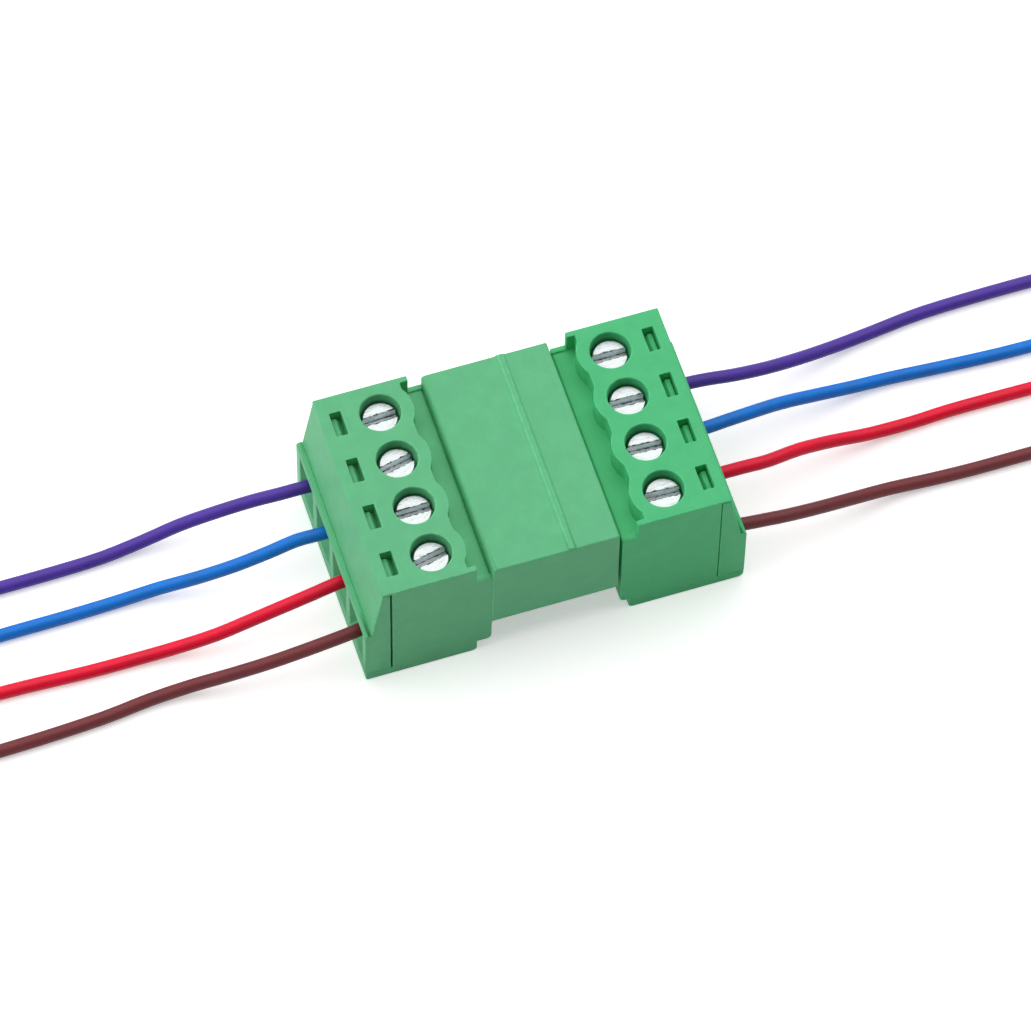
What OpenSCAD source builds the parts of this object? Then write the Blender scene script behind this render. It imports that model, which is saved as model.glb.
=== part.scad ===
// Four-pole pluggable wire-to-wire terminal block, mated pair.
// The header half carries the shroud and the pins, and the plug half slides
// into it. Both halves clamp their wires in rising cages under slotted screws.
// Lengths are in millimetres. X runs along the wires, with the plug half at +X,
// Y runs along the row of poles and Z is up, with the flat undersides at Z = 0.

/* [Poles] */
// Distance between neighbouring poles
pole_pitch = 5.08; // [4.9:0.02:5.6]
// Extra plastic at each end of the row of poles
end_margin = 0.47; // [0.4:0.01:1.2]
// Wall between two neighbouring poles
web = 0.7; // [0.5:0.05:0.8]

/* [Screw blocks] */
// Height of both blocks
body_h = 14.7; // [14.4:0.1:17]
// Screw axis to the outer edge of the flat top
top_reach = 5.53; // [5.3:0.01:5.9]
// Screw axis to the seam of the wire funnel cap
seam_reach = 4.57; // [4.4:0.01:4.8]
// Screw axis to the upright face where the wires enter
face_reach = 7.15; // [6.9:0.05:8]
// Screw axis to the face turned to the other half
inner_reach = 4.8; // [4.7:0.05:5.4]
// Screw axis to the step in the header half's underside
header_foot_reach = 3.45; // [2.8:0.05:4.2]
// Screw axis to the step in the plug half's underside
plug_foot_reach = 3.95; // [2.8:0.05:4.2]
// Height of the step in the underside
foot_step = 1.5; // [1:0.1:2.5]
// Depth of the ledge below the flat top
ledge_drop = 2.35; // [2:0.05:2.6]
// Screw axis to the straight part of the ledge's wall
ledge_reach = 2.6; // [2.5:0.05:2.8]
// Radius of the bulge that the ledge's wall makes round each screw
bulge_r = 3.15; // [3:0.05:3.4]
// Thickness of the fin at each end of the ledge
fin_t = 0.55; // [0.4:0.05:0.8]
// Screw axis to the front edge of the fin
fin_reach = 3.4; // [3.2:0.05:3.8]
// Radius on the corners of the feet
foot_r = 0.5; // [0.2:0.05:0.8]
// Radius on the header half's lower outer edge
header_edge_r = 0.25; // [0.1:0.05:0.8]
// Radius on the plug half's lower outer edge
plug_edge_r = 0.6; // [0.1:0.05:0.8]
// Radius where the ledge turns down
ledge_r = 0.25; // [0.1:0.05:0.4]
// Radius in the corners between the bulges and the ledge's wall
bulge_fillet = 0.5; // [0.2:0.05:0.6]
// Height of the low rim along each end of the ledge
rim_h = 0.2; // [0.1:0.05:0.4]
// Radius on the outer edge of the flat top
top_edge_r = 0.12; // [0.05:0.01:0.2]

/* [Walls] */
// Floor of the screw block under the wire cap
shelf_t = 1.05; // [0.8:0.05:1.4]
// Rise from the floor under the cap to the floor of the chamber
chamber_step = 0.25; // [0.15:0.05:0.4]
// Plate over the wire cap
roof_t = 1.6; // [1.4:0.05:1.9]
// Height of the chamber in which a cage travels
chamber_h = 9.5; // [9.3:0.05:9.9]
// Screw axis to the closed end of the chamber
chamber_reach = 2.4; // [2.25:0.05:2.6]
// Screw axis to the back of the pocket for the contact's upright
pocket_reach = 4.35; // [4.2:0.05:4.6]
// Wall between a well and the pocket for the cap's tab
tab_wall = 1; // [0.8:0.05:1.2]

/* [Screws] */
// Diameter of the well over each screw
well_d = 3.76; // [3.6:0.02:4]
// Chamfer round the top of a well
well_chamfer = 0.1; // [0.05:0.01:0.2]
// Depth of the screw head below the flat top
head_drop = 0.95; // [0.85:0.05:1.5]
// Diameter of the screw head
head_d = 3.4; // [3.1:0.05:3.5]
// Height of the screw head
head_h = 1.6; // [1.4:0.05:1.8]
// Chamfer round the top of the screw head
head_chamfer = 0.14; // [0.1:0.02:0.3]
// Outer diameter of the screw thread
thread_d = 2.5; // [2.2:0.1:2.6]
// Rise of the screw thread in one turn
thread_rise = 0.45; // [0.35:0.01:0.46]
// Turns of a screw from clamped to open
clamp_turns = 4; // [3:0.25:4]
// Chamfer at the tip of a screw
tip_chamfer = 0.3; // [0.2:0.05:0.5]
// Gap between the tip of a screw and the contact strip
tip_gap = 0.15; // [0.1:0.05:0.4]
// Width of the screwdriver slot
slot_w = 0.8; // [0.5:0.05:0.9]
// Depth of the screwdriver slot
slot_d = 0.9; // [0.6:0.05:1]
// Radial play of a screw in its hole and in its cage
screw_play = 0.04; // [0.02:0.01:0.08]

/* [Clamps] */
// Length of a cage along the wire
cage_l = 4.2; // [3.6:0.1:4.4]
// Thickness of the cage's sides and floor
cage_t = 0.65; // [0.5:0.05:0.75]
// Thickness of the threaded top of a cage
cage_nut_t = 1.5; // [1.2:0.1:1.6]
// Radius on the bends of a cage
cage_r = 0.4; // [0.2:0.05:0.6]
// Play between a cage and its chamber on each side
cage_play = 0.08; // [0.05:0.01:0.12]
// Gap between the contact strip and the threaded top of an open cage
cage_gap = 0.12; // [0.08:0.01:0.2]
// Thickness of the contact strip
strip_t = 0.8; // [0.6:0.05:0.9]
// Width of the contact strip in the clamp
strip_w = 2.5; // [2.2:0.1:2.6]
// Play between the contact strip and the plastic
strip_play = 0.05; // [0.03:0.01:0.1]
// Reach of the contact strip beyond a cage
strip_end = 0.9; // [0.6:0.05:1.1]
// Bevel on the end of the contact strip
strip_bevel = 0.2; // [0.1:0.05:0.3]

/* [Wire caps] */
// How far the cap's bead stands out from the foot of the sloping face
bead_out = 0.57; // [0.4:0.01:0.7]
// Height of the foot of the cap's sloping face
slope_foot_z = 8.05; // [7.8:0.05:9]
// How far the sloping face stands inside the roof's edge
slope_inset = 0.03; // [0.01:0.01:0.06]
// Size of the crease along the foot of the sloping face
crease = 0.08; // [0.04:0.02:0.12]
// Height of the roof's edge over the cap
lip_h = 0.35; // [0.2:0.05:0.6]
// Open seam between the header half's cap and its block
header_seam = 0.18; // [0.05:0.01:0.3]
// Open seam between the plug half's cap and its block
plug_seam = 0.07; // [0.05:0.01:0.3]
// Width of a wire funnel at its mouth
funnel_w = 4.1; // [3.6:0.1:4.3]
// Height of a wire funnel at its mouth
funnel_h = 5.2; // [4.6:0.1:5.4]
// Width of a wire funnel at its throat
throat_w = 2.6; // [2.2:0.1:3]
// Height of a wire funnel at its throat
throat_h = 2.4; // [2:0.1:2.8]
// Length of the straight throat
throat_l = 0.8; // [0.5:0.1:1.2]
// Reach of the cap's tongue behind the seam
tongue_l = 0.6; // [0.4:0.05:0.8]
// Height of the tongue's foot over the floor of the chamber
tongue_lift = 0.9; // [0.6:0.1:1.2]
// Height of the cap's tab over the ceiling of the chamber
tab_lift = 0.15; // [0.1:0.05:0.2]
// Seam to the near side of the groove under the cap
groove_reach = 0.8; // [0.6:0.05:1]
// Width of the groove under the cap
groove_w = 0.6; // [0.5:0.05:0.8]
// Depth of the groove under the cap
groove_h = 0.35; // [0.2:0.05:0.45]
// Rise of the cap's bead from its foot to its top
bead_h = 0.1; // [0.05:0.05:0.3]
// Radius on the cap's bead
bead_r = 0.25; // [0.1:0.05:0.3]
// Drop of a funnel's mouth below its throat
funnel_drop = 0.5; // [0:0.1:0.6]
// Play of a cap under the roof and between the walls
cap_play = 0.05; // [0.03:0.01:0.1]
// Screw axis to the near side of a latch window
window_reach = 3.38; // [3.2:0.02:3.45]
// Length of a latch window along the wire
window_l = 1.08; // [0.9:0.02:1.2]
// Width of a latch window
window_w = 2.5; // [2:0.1:3]
// Depth of the latch nose below the flat top
nose_drop = 0.85; // [0.6:0.05:1.2]
// Gap between a latch nose and each end of its window
nose_gap = 0.15; // [0.1:0.05:0.4]
// Play of a latch nose along its window
nose_side_gap = 0.1; // [0.05:0.01:0.15]
// Height of the latch nose's heel over the roof's underside
nose_heel = 0.1; // [0.05:0.05:0.3]

/* [Shroud] */
// Length of the shroud beyond the header's block
shroud_l = 12; // [11:0.1:14]
// Drop of the shroud's top below the flat top
shroud_drop = 0.92; // [0.5:0.02:1.3]
// Height of the shroud's underside
shroud_z = 4.57; // [4:0.01:5]
// How far the shroud stands proud of the block at each end
shroud_proud = 0.08; // [0:0.02:0.3]
// Thickness of the shroud's roof
shroud_roof = 1.5; // [1.2:0.05:1.6]
// Thickness of the shroud's floor and ends
shroud_wall = 1.1; // [0.8:0.05:1.4]
// Gap between the mouth of the shroud and the plug's block
mouth_gap = 0.3; // [0.15:0.05:0.5]
// Depth of the cavity inside the shroud
cavity_l = 10.4; // [9.6:0.1:10.8]
// Screw axis to the raised line across the shroud
line_reach = 12.3; // [10:0.1:14]
// Width of the raised line across the shroud
line_w = 0.9; // [0.6:0.1:1.4]
// Height of the raised line across the shroud
line_h = 0.2; // [0.1:0.05:0.3]
// Setback of the raised line's ends from the shroud's sides
line_inset = 0.04; // [0.02:0.01:0.2]
// Radius on the shroud's long edges
shroud_r = 0.15; // [0.1:0.05:0.5]
// Radius where the shroud's top turns down to the ledge
shroud_back_r = 0.5; // [0.2:0.05:0.8]
// Radius on the mouth's upper edge
mouth_r = 0.15; // [0.05:0.05:0.3]
// Chamfer on the lower edges of the plug's nose
key_chamfer = 0.9; // [0.5:0.1:1.4]
// Play of the plug's nose in the shroud
nose_play = 0.1; // [0.06:0.01:0.2]

/* [Contacts] */
// Width of a pin
pin_w = 1; // [0.8:0.05:1.2]
// Length of a pin inside the shroud
pin_l = 8.2; // [7:0.1:9]
// Taper at the tip of a pin
pin_tip = 0.3; // [0.2:0.05:0.35]
// Thickness of a socket's spring blades
blade_t = 0.4; // [0.3:0.05:0.5]
// Length of a socket's spring blades
blade_l = 7.6; // [6.5:0.1:8]
// Play of a pin in the hole of the nose
pin_play = 0.15; // [0.1:0.05:0.25]
// Gap between a spring blade and the pin
blade_play = 0.04; // [0.02:0.01:0.08]
// How much narrower a blade is than the strip, on each side
blade_inset = 0.25; // [0.1:0.05:0.4]
// Length of the bend at the root of a blade
root_l = 0.5; // [0.4:0.05:0.8]
// Half the gap between the blades at their roots
root_gap = 0.7; // [0.6:0.05:0.8]
// Root to the widest place between the blades
belly_l = 2.5; // [2:0.1:3]
// Half the gap between the blades at the widest place
belly_gap = 0.85; // [0.8:0.05:0.95]
// Length of the flat that touches the pin
touch_l = 0.6; // [0.4:0.1:1]
// Length of the flare at the tip of a blade
flare_l = 1; // [0.8:0.1:1.4]
// Height of the flare at the tip of a blade
flare_h = 0.55; // [0.4:0.05:0.65]
// Width of a socket pocket
socket_w = 3; // [2.8:0.1:3.4]
// Height of a socket pocket
socket_h = 3.4; // [3:0.1:3.8]
// Thickness of the nose's wall in front of the sockets
nose_wall = 0.8; // [0.6:0.1:1.2]
// Width of the lead-in round a pin's hole
lead_w = 1.9; // [1.7:0.1:2.2]
// Depth of the lead-in round a pin's hole
lead_l = 0.45; // [0.3:0.05:0.5]

/* [Wires] */
// Diameter over the insulation
wire_d = 1.26; // [1:0.02:1.6]
// Diameter of the copper
copper_d = 0.76; // [0.5:0.02:0.8]
// Height of the wires at the blocks
wire_z = 5; // [4.8:0.05:5.2]
// Length of stripped copper in a clamp
bare_l = 6.6; // [6:0.1:7]

/* [Hidden] */
$fn = 48;

poles = 4;
e = 0.01;
// How far a cut runs past the face that it opens
past = 1;
// How far a joined solid reaches into its neighbour
bite = 0.4;
screw_span = 2 * inner_reach + shroud_l + mouth_gap;
body_w = poles * pole_pitch + 2 * end_margin;
chamber_w = pole_pitch - web;
pole_y = [for (i = [0 : poles - 1]) ((poles - 1) / 2 - i) * pole_pitch];
ledge_z = body_h - ledge_drop;
chamber_z = shelf_t + chamber_step;
ceiling_z = chamber_z + chamber_h;
roof_z = body_h - roof_t;
cheek_t = end_margin + web / 2;
slope_reach = face_reach - bead_out;
tab_reach = well_d / 2 + tab_wall;

// Clamp stack, from the copper up
grip_z = wire_z - copper_d / 2;
strip_z = wire_z + copper_d / 2;
strip_top = strip_z + strip_t;
cage_z = grip_z - cage_t;
cage_travel = clamp_turns * thread_rise;
nut_z = strip_top + cage_travel + cage_gap;
cage_top = nut_z + cage_nut_t;
cage_w = chamber_w - 2 * cage_play;
head_z = body_h - head_drop - head_h;
screw_tip_z = strip_top + tip_gap;
strip_reach = cage_l / 2 + strip_end;
upright_x = strip_play - pocket_reach;
hole_d = thread_d + 2 * screw_play;

// Shroud and nose
shroud_w = body_w + 2 * shroud_proud;
shroud_top = body_h - shroud_drop;
cavity_z = shroud_z + shroud_wall;
cavity_top = shroud_top - shroud_roof;
cavity_w = shroud_w - 2 * shroud_wall;
cavity_reach = inner_reach + shroud_l - cavity_l;
pin_z = (cavity_z + cavity_top) / 2;
mouth_reach = inner_reach + shroud_l;
nose_tip_reach = screw_span - cavity_reach - nose_play;

// Angle at which each screwdriver slot stands
header_slot_turn = [3, 12, 1, 11];
plug_slot_turn = [0, -1, -3, -3];

plastic_header = [0.44, 0.76, 0.55];
plastic_plug = [0.36, 0.77, 0.52];
zinc = [0.86, 0.87, 0.88];
tin = [0.78, 0.78, 0.76];
copper = [0.8, 0.5, 0.3];
wire_colours = [[0.36, 0.27, 0.62], [0.12, 0.42, 0.8], [0.85, 0.1, 0.22], [0.42, 0.18, 0.2]];

// Routes of the wires from the end of the insulation to the free end on the
// table, each in its half's own frame with X outward from the screw axis
header_routes = [
    [[4.25, 7.62, 5], [7.5, 7.65, 5], [9.7, 7.7, 4.9], [12.2, 8, 4.45], [15.5, 8.4, 3.5], [19, 8.8, 2.25],
     [22.5, 8.8, 1.15], [26.5, 8.5, 0.7], [31, 8.35, 0.65], [36, 8.3, 0.65], [40.5, 8.3, 0.65]],
    [[4.25, 2.54, 5], [7.5, 2.5, 5], [9.7, 2.55, 4.9], [12.2, 2.4, 4.45], [15.5, 2.5, 3.5], [19, 3, 2.25],
     [22.5, 3.6, 1.15], [26.5, 3.65, 0.7], [31, 3.55, 0.65], [36.5, 3.5, 0.65], [42, 3.4, 0.65]],
    [[4.25, -2.54, 5], [7.5, -2.9, 5], [9.7, -3.2, 4.9], [12.2, -3.35, 4.45], [15.5, -3.35, 3.5],
     [19, -3.2, 2.25], [22.5, -2.8, 1.15], [26.5, -2.6, 0.7], [31, -2.55, 0.65], [37, -2.3, 0.65],
     [43, -2.2, 0.65]],
    [[4.25, -7.62, 5], [7.5, -8.15, 5], [9.7, -8.35, 4.9], [12.2, -8.35, 4.45], [15.5, -8.1, 3.5],
     [19, -7.55, 2.25], [22.5, -7, 1.15], [26.5, -7, 0.7], [31, -7.5, 0.65], [37.5, -7.85, 0.65],
     [44.5, -8, 0.65]]
];
plug_routes = [
    [[4.25, 7.62, 5], [7.5, 7.6, 5], [9.7, 7.5, 4.9], [12.2, 7.45, 4.45], [15.5, 7.8, 3.5],
     [19, 8.55, 2.25], [22.8, 9.4, 1.15], [27, 10.1, 0.7], [32, 10.7, 0.65], [39, 10.9, 0.65],
     [46.5, 10.9, 0.65]],
    [[4.25, 2.54, 5], [7.5, 2.55, 5], [9.7, 2.75, 4.9], [12.2, 3.15, 4.45], [15.5, 3.8, 3.5],
     [19, 4.35, 2.25], [22.8, 4.75, 1.15], [27, 4.85, 0.7], [32, 4.55, 0.65], [38, 4.25, 0.65],
     [44.3, 4.2, 0.65]],
    [[4.25, -2.54, 5], [7.5, -2.45, 5], [9.7, -2.4, 4.9], [12.2, -2.2, 4.45], [15.5, -1.4, 3.5],
     [19, -0.8, 2.25], [22.8, -0.5, 1.15], [27, -0.3, 0.7], [31, -0.1, 0.65], [36.5, -0.1, 0.65],
     [42.7, -0.2, 0.65]],
    [[4.25, -7.62, 5], [7.5, -8.1, 5], [9.7, -8.25, 4.9], [12.2, -8.2, 4.45], [15.5, -7.8, 3.5],
     [19, -7.15, 2.25], [22.8, -6.6, 1.15], [27, -6.6, 0.7], [31, -6.7, 0.65], [35.5, -6.7, 0.65],
     [40.3, -6.7, 0.65]]
];

insulation_reach = header_routes[0][0].x;

// ---------- placing ----------

// Puts a piece drawn outward along +X into the header half
module in_header() {
    translate([-screw_span / 2, 0, 0])
        mirror([1, 0, 0])
            children();
}

// Puts a piece drawn outward along +X into the plug half
module in_plug() {
    translate([screw_span / 2, 0, 0])
        children();
}

// Box from one corner to the other
module span(a, b) {
    translate(a)
        cube(b - a);
}

// Profile drawn in X and Z, extruded along the row of poles
module across(w, y = 0) {
    translate([0, y + w / 2, 0])
        rotate([90, 0, 0])
            linear_extrude(w)
                children();
}

// ---------- screw block ----------

// Outline of the block from the end of the row: shelf, seam, roof, ledge and foot
module block_profile(foot_reach, edge_r) {
    difference() {
        polygon([
            [face_reach, 0], [face_reach, shelf_t], [seam_reach, shelf_t], [seam_reach, body_h - lip_h],
            [top_reach, body_h - lip_h], [top_reach, body_h], [-fin_reach, body_h], [-fin_reach, ledge_z],
            [-inner_reach, ledge_z], [-inner_reach, foot_step], [-foot_reach, foot_step], [-foot_reach, 0]
        ]);
        corner_cut([face_reach, 0], edge_r, 90);
        corner_cut([top_reach, body_h], top_edge_r, 180);
        corner_cut([-inner_reach, ledge_z], ledge_r, 270);
        corner_cut([-inner_reach, foot_step], foot_r, 0);
        corner_cut([-foot_reach, 0], foot_r, 0);
    }
}

// Takes the square corner at a point back to a quarter round. At 0 degrees the
// solid lies towards +X and +Y from the corner.
module corner_cut(at, r, turn) {
    translate(at)
        rotate(turn)
            difference() {
                translate([-e, -e])
                    square(r + e);
                translate([r, r])
                    circle(r);
            }
}

// Rectangle between two corners with rounded corners
module round_rect(a, b, r) {
    translate([a.x + r, a.y])
        square([b.x - a.x - 2 * r, b.y - a.y]);
    translate([a.x, a.y + r])
        square([b.x - a.x, b.y - a.y - 2 * r]);
    for (x = [a.x + r, b.x - r], y = [a.y + r, b.y - r])
        translate([x, y])
            circle(r);
}

// What the ledge takes from the upper block, with a wall that bulges round each screw
module ledge_cut() {
    fillet_x = ledge_reach + bulge_fillet;
    fillet_y = sqrt(pow(bulge_r + bulge_fillet, 2) - pow(fillet_x, 2));
    difference() {
        translate([-inner_reach - past, -body_w / 2 + fin_t])
            square([inner_reach + past - ledge_reach, body_w - 2 * fin_t]);
        for (y = pole_y)
            translate([0, y]) {
                circle(bulge_r);
                for (s = [-1, 1])
                    difference() {
                        polygon([[0, 0], [-fillet_x, s * fillet_y], [-ledge_reach + e, s * fillet_y]]);
                        translate([-fillet_x, s * fillet_y])
                            circle(bulge_fillet);
                    }
            }
    }
}

// Well, shoulder hole and chamber of one pole
module pole_cut(y) {
    translate([0, y, head_z])
        cylinder(d = well_d, h = body_h);
    translate([0, y, body_h - well_chamfer])
        cylinder(d1 = well_d, d2 = well_d + 2 * (well_chamfer + e), h = well_chamfer + e);
    translate([0, y, ceiling_z - past])
        cylinder(d = hole_d, h = head_z - ceiling_z + past + e);
    span([-chamber_reach, y - chamber_w / 2, chamber_z], [face_reach + past, y + chamber_w / 2, ceiling_z]);
    span([-pocket_reach, y - strip_w / 2 - strip_play, strip_z - strip_play],
         [e, y + strip_w / 2 + strip_play, pin_z + strip_t / 2 + strip_play]);
}

// Screw block that both halves share
module block(foot_reach, edge_r) {
    difference() {
        across(body_w)
            block_profile(foot_reach, edge_r);
        translate([0, 0, ledge_z])
            linear_extrude(body_h)
                ledge_cut();
        for (y = pole_y) {
            pole_cut(y);
            span([window_reach, y - window_w / 2, roof_z - e],
                 [window_reach + window_l, y + window_w / 2, body_h + e]);
        }
        span([tab_reach, -body_w / 2 + cheek_t, ceiling_z - e],
             [face_reach + past, body_w / 2 - cheek_t, roof_z]);
        span([seam_reach - tongue_l - cap_play, -body_w / 2 + cheek_t, chamber_z - e],
             [seam_reach + past, body_w / 2 - cheek_t, ceiling_z + e]);
        span([seam_reach + groove_reach, -body_w / 2 + cheek_t, shelf_t - groove_h],
             [seam_reach + groove_reach + groove_w, body_w / 2 - cheek_t, shelf_t + e]);
    }
    for (s = [-1, 1])
        span([-inner_reach + e, s * (body_w - fin_t) / 2 - fin_t / 2, ledge_z - bite],
             [-fin_reach + e, s * (body_w - fin_t) / 2 + fin_t / 2, ledge_z + rim_h]);
}

// ---------- header half ----------

// Outline of the shroud's cavity and of the nose that fits it
module key_profile(w, z0, z1, chamfer) {
    polygon([
        [-w / 2, z0 + chamfer], [-w / 2 + chamfer, z0], [w / 2 - chamfer, z0],
        [w / 2, z0 + chamfer], [w / 2, z1], [-w / 2, z1]
    ]);
}

// Extrusion along X of a profile drawn in Y and Z
module along(x0, x1) {
    translate([x0, 0, 0])
        rotate([90, 0, 90])
            linear_extrude(x1 - x0)
                children();
}

// Box of the shroud, rounded along its edges and at its back, with its raised line
module shroud_shell() {
    intersection() {
        along(-mouth_reach, -inner_reach + bite)
            round_rect([-shroud_w / 2, shroud_z], [shroud_w / 2, shroud_top], shroud_r);
        across(shroud_w)
            difference() {
                translate([-mouth_reach, shroud_z])
                    square([mouth_reach - inner_reach, shroud_top - shroud_z]);
                corner_cut([-inner_reach, shroud_top], shroud_back_r, 180);
                corner_cut([-mouth_reach, shroud_top], mouth_r, 270);
            }
    }
    across(shroud_w - 2 * line_inset)
        translate([-line_reach, shroud_top])
            polygon([
                [-line_w / 2, -shroud_r], [-line_w / 2, 0], [-line_w / 4, line_h], [line_w / 4, line_h],
                [line_w / 2, 0], [line_w / 2, -shroud_r]
            ]);
}

module header_housing() {
    color(plastic_header)
        in_header()
            difference() {
                union() {
                    block(header_foot_reach, header_edge_r);
                    shroud_shell();
                }
                along(-mouth_reach - past, -cavity_reach)
                    key_profile(cavity_w, cavity_z, cavity_top, key_chamfer);
                for (y = pole_y)
                    span([-cavity_reach - past, y - pin_w / 2 - strip_play, pin_z - strip_t / 2 - strip_play],
                         [-pocket_reach + e, y + pin_w / 2 + strip_play, pin_z + strip_t / 2 + strip_play]);
            }
}

// Outline of the strip in the clamp and of the upright behind it
module strip_profile() {
    polygon([
        [strip_reach, strip_z], [strip_reach, strip_top - strip_bevel], [strip_reach - strip_bevel, strip_top],
        [upright_x + strip_t, strip_top], [upright_x + strip_t, pin_z + strip_t / 2],
        [upright_x, pin_z + strip_t / 2], [upright_x, strip_z]
    ]);
}

// Strip in the clamp, upright behind it and pin in the shroud, in one piece
module header_contact(i) {
    y = pole_y[i];
    tip = cavity_reach + pin_l;
    color(tin)
        in_header() {
            across(strip_w, y)
                strip_profile();
            intersection() {
                across(pin_w, y)
                    polygon([
                        [upright_x + e, pin_z - strip_t / 2],
                        [upright_x + e, pin_z + strip_t / 2],
                        [-tip + 2 * pin_tip, pin_z + strip_t / 2], [-tip, pin_z + strip_t / 2 - pin_tip],
                        [-tip, pin_z - strip_t / 2 + pin_tip], [-tip + 2 * pin_tip, pin_z - strip_t / 2]
                    ]);
                translate([0, 0, pin_z - strip_t])
                    linear_extrude(2 * strip_t)
                        polygon([
                            [0, y - pin_w / 2], [0, y + pin_w / 2], [-tip + 2 * pin_tip, y + pin_w / 2],
                            [-tip, y + pin_w / 2 - pin_tip], [-tip, y - pin_w / 2 + pin_tip],
                            [-tip + 2 * pin_tip, y - pin_w / 2]
                        ]);
            }
        }
}

// ---------- plug half ----------

// Socket pocket, with a square hole for the pin that widens at the tip of the nose
module socket_cut(y) {
    span([-nose_tip_reach + nose_wall, y - socket_w / 2, pin_z - socket_h / 2],
         [upright_x + e, y + socket_w / 2, pin_z + socket_h / 2]);
    span([-nose_tip_reach - e, y - pin_w / 2 - pin_play, pin_z - strip_t / 2 - pin_play],
         [-nose_tip_reach + nose_wall + e, y + pin_w / 2 + pin_play, pin_z + strip_t / 2 + pin_play]);
    translate([-nose_tip_reach - e, y, pin_z])
        rotate([45, 0, 0])
            rotate([0, 90, 0])
                cylinder(d1 = sqrt(2) * lead_w, d2 = sqrt(2) * (lead_w - 2 * lead_l), h = lead_l, $fn = 4);
}

module plug_housing() {
    color(plastic_plug)
        in_plug()
            difference() {
                union() {
                    block(plug_foot_reach, plug_edge_r);
                    along(-nose_tip_reach, -inner_reach + bite)
                        key_profile(cavity_w - 2 * nose_play, cavity_z + nose_play, cavity_top - nose_play,
                                    key_chamfer);
                }
                for (y = pole_y)
                    socket_cut(y);
            }
}

// Strip in the clamp, upright and two spring blades that grip the pin
module plug_contact(i) {
    y = pole_y[i];
    color(tin)
        in_plug() {
            across(strip_w, y)
                strip_profile();
            for (s = [-1, 1])
                across(strip_w - 2 * blade_inset, y)
                    translate([upright_x, pin_z])
                        scale([1, s])
                            blade_profile();
        }
}

// Outline of the upper spring blade, from its root over the belly to the flared tip
module blade_profile() {
    touch = strip_t / 2 + blade_play;
    flat_x = flare_l + touch_l - blade_l;
    flare_x = flare_l - blade_l;
    polygon([
        [e, strip_t / 2 - blade_t], [e, strip_t / 2], [-root_l, root_gap + blade_t],
        [-belly_l, belly_gap + blade_t], [flat_x, touch + blade_t], [flare_x, touch + blade_t],
        [-blade_l, touch + flare_h + blade_t], [-blade_l, touch + flare_h], [flare_x, touch], [flat_x, touch],
        [-belly_l, belly_gap], [-root_l, root_gap], [-root_l / 2, strip_t / 2 - blade_t]
    ]);
}

// ---------- pieces that both halves share ----------

// Outline of the cap from the end of the row: slope, bead and upright face
module cap_profile(seam) {
    bead_z = slope_foot_z - bead_h;
    difference() {
        polygon([
            [seam_reach + seam, shelf_t], [face_reach, shelf_t], [face_reach, bead_z],
            [slope_reach + crease, slope_foot_z - crease / 2], [slope_reach, slope_foot_z - 2 * crease],
            [slope_reach - slope_inset, slope_foot_z], [top_reach - slope_inset, body_h - lip_h - cap_play],
            [seam_reach + seam, body_h - lip_h - cap_play]
        ]);
        corner_cut([face_reach, bead_z], bead_r, 180);
    }
}

// Tapered mouth and straight throat of one wire funnel, along X
module funnel(y) {
    hull() {
        translate([face_reach + e, y, wire_z - funnel_drop])
            cube([e, funnel_w, funnel_h], center = true);
        translate([seam_reach + throat_l, y, wire_z])
            cube([e, throat_w, throat_h], center = true);
    }
    span([seam_reach - tongue_l - past, y - throat_w / 2, wire_z - throat_h / 2],
         [seam_reach + throat_l + e, y + throat_w / 2, wire_z + throat_h / 2]);
}

// Nose that rides in under the roof on its ramp and snaps up into a latch window
module latch_nose(y) {
    near = window_reach + nose_side_gap;
    far = window_reach + window_l - nose_side_gap;
    across(window_w - 2 * nose_gap, y)
        polygon([
            [near, roof_z - bite], [near, roof_z + nose_heel], [(near + far) / 2, body_h - nose_drop],
            [far, body_h - nose_drop], [far, roof_z - bite]
        ]);
}

module wire_cap(seam) {
    inner_w = body_w - 2 * cheek_t - 2 * cap_play;
    difference() {
        union() {
            across(body_w)
                cap_profile(seam);
            span([tab_reach + cap_play, -inner_w / 2, ceiling_z + tab_lift],
                 [seam_reach + seam + bite, inner_w / 2, roof_z - cap_play]);
            span([seam_reach - tongue_l, -inner_w / 2, chamber_z + tongue_lift],
                 [seam_reach + seam + bite, inner_w / 2, ceiling_z + tab_lift + e]);
            span([seam_reach + groove_reach + cap_play, -inner_w / 2, shelf_t - groove_h + cap_play],
                 [seam_reach + groove_reach + groove_w - cap_play, inner_w / 2, shelf_t + bite]);
            for (y = pole_y)
                latch_nose(y);
        }
        for (y = pole_y)
            funnel(y);
    }
}

module header_wire_cap() {
    color(plastic_header)
        in_header()
            wire_cap(header_seam);
}

module plug_wire_cap() {
    color(plastic_plug)
        in_plug()
            wire_cap(plug_seam);
}

// Box-shaped clamp: a threaded top, two sides and a ribbed floor
module cage(y) {
    color(tin)
        translate([0, y, 0])
            difference() {
                along(-cage_l / 2, cage_l / 2)
                    round_rect([-cage_w / 2, cage_z], [cage_w / 2, cage_top], cage_r);
                span([-cage_l, -cage_w / 2 + cage_t, grip_z], [cage_l, cage_w / 2 - cage_t, nut_z]);
                translate([0, 0, nut_z - e])
                    cylinder(d = hole_d, h = cage_nut_t + 2 * e);
            }
}

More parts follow.
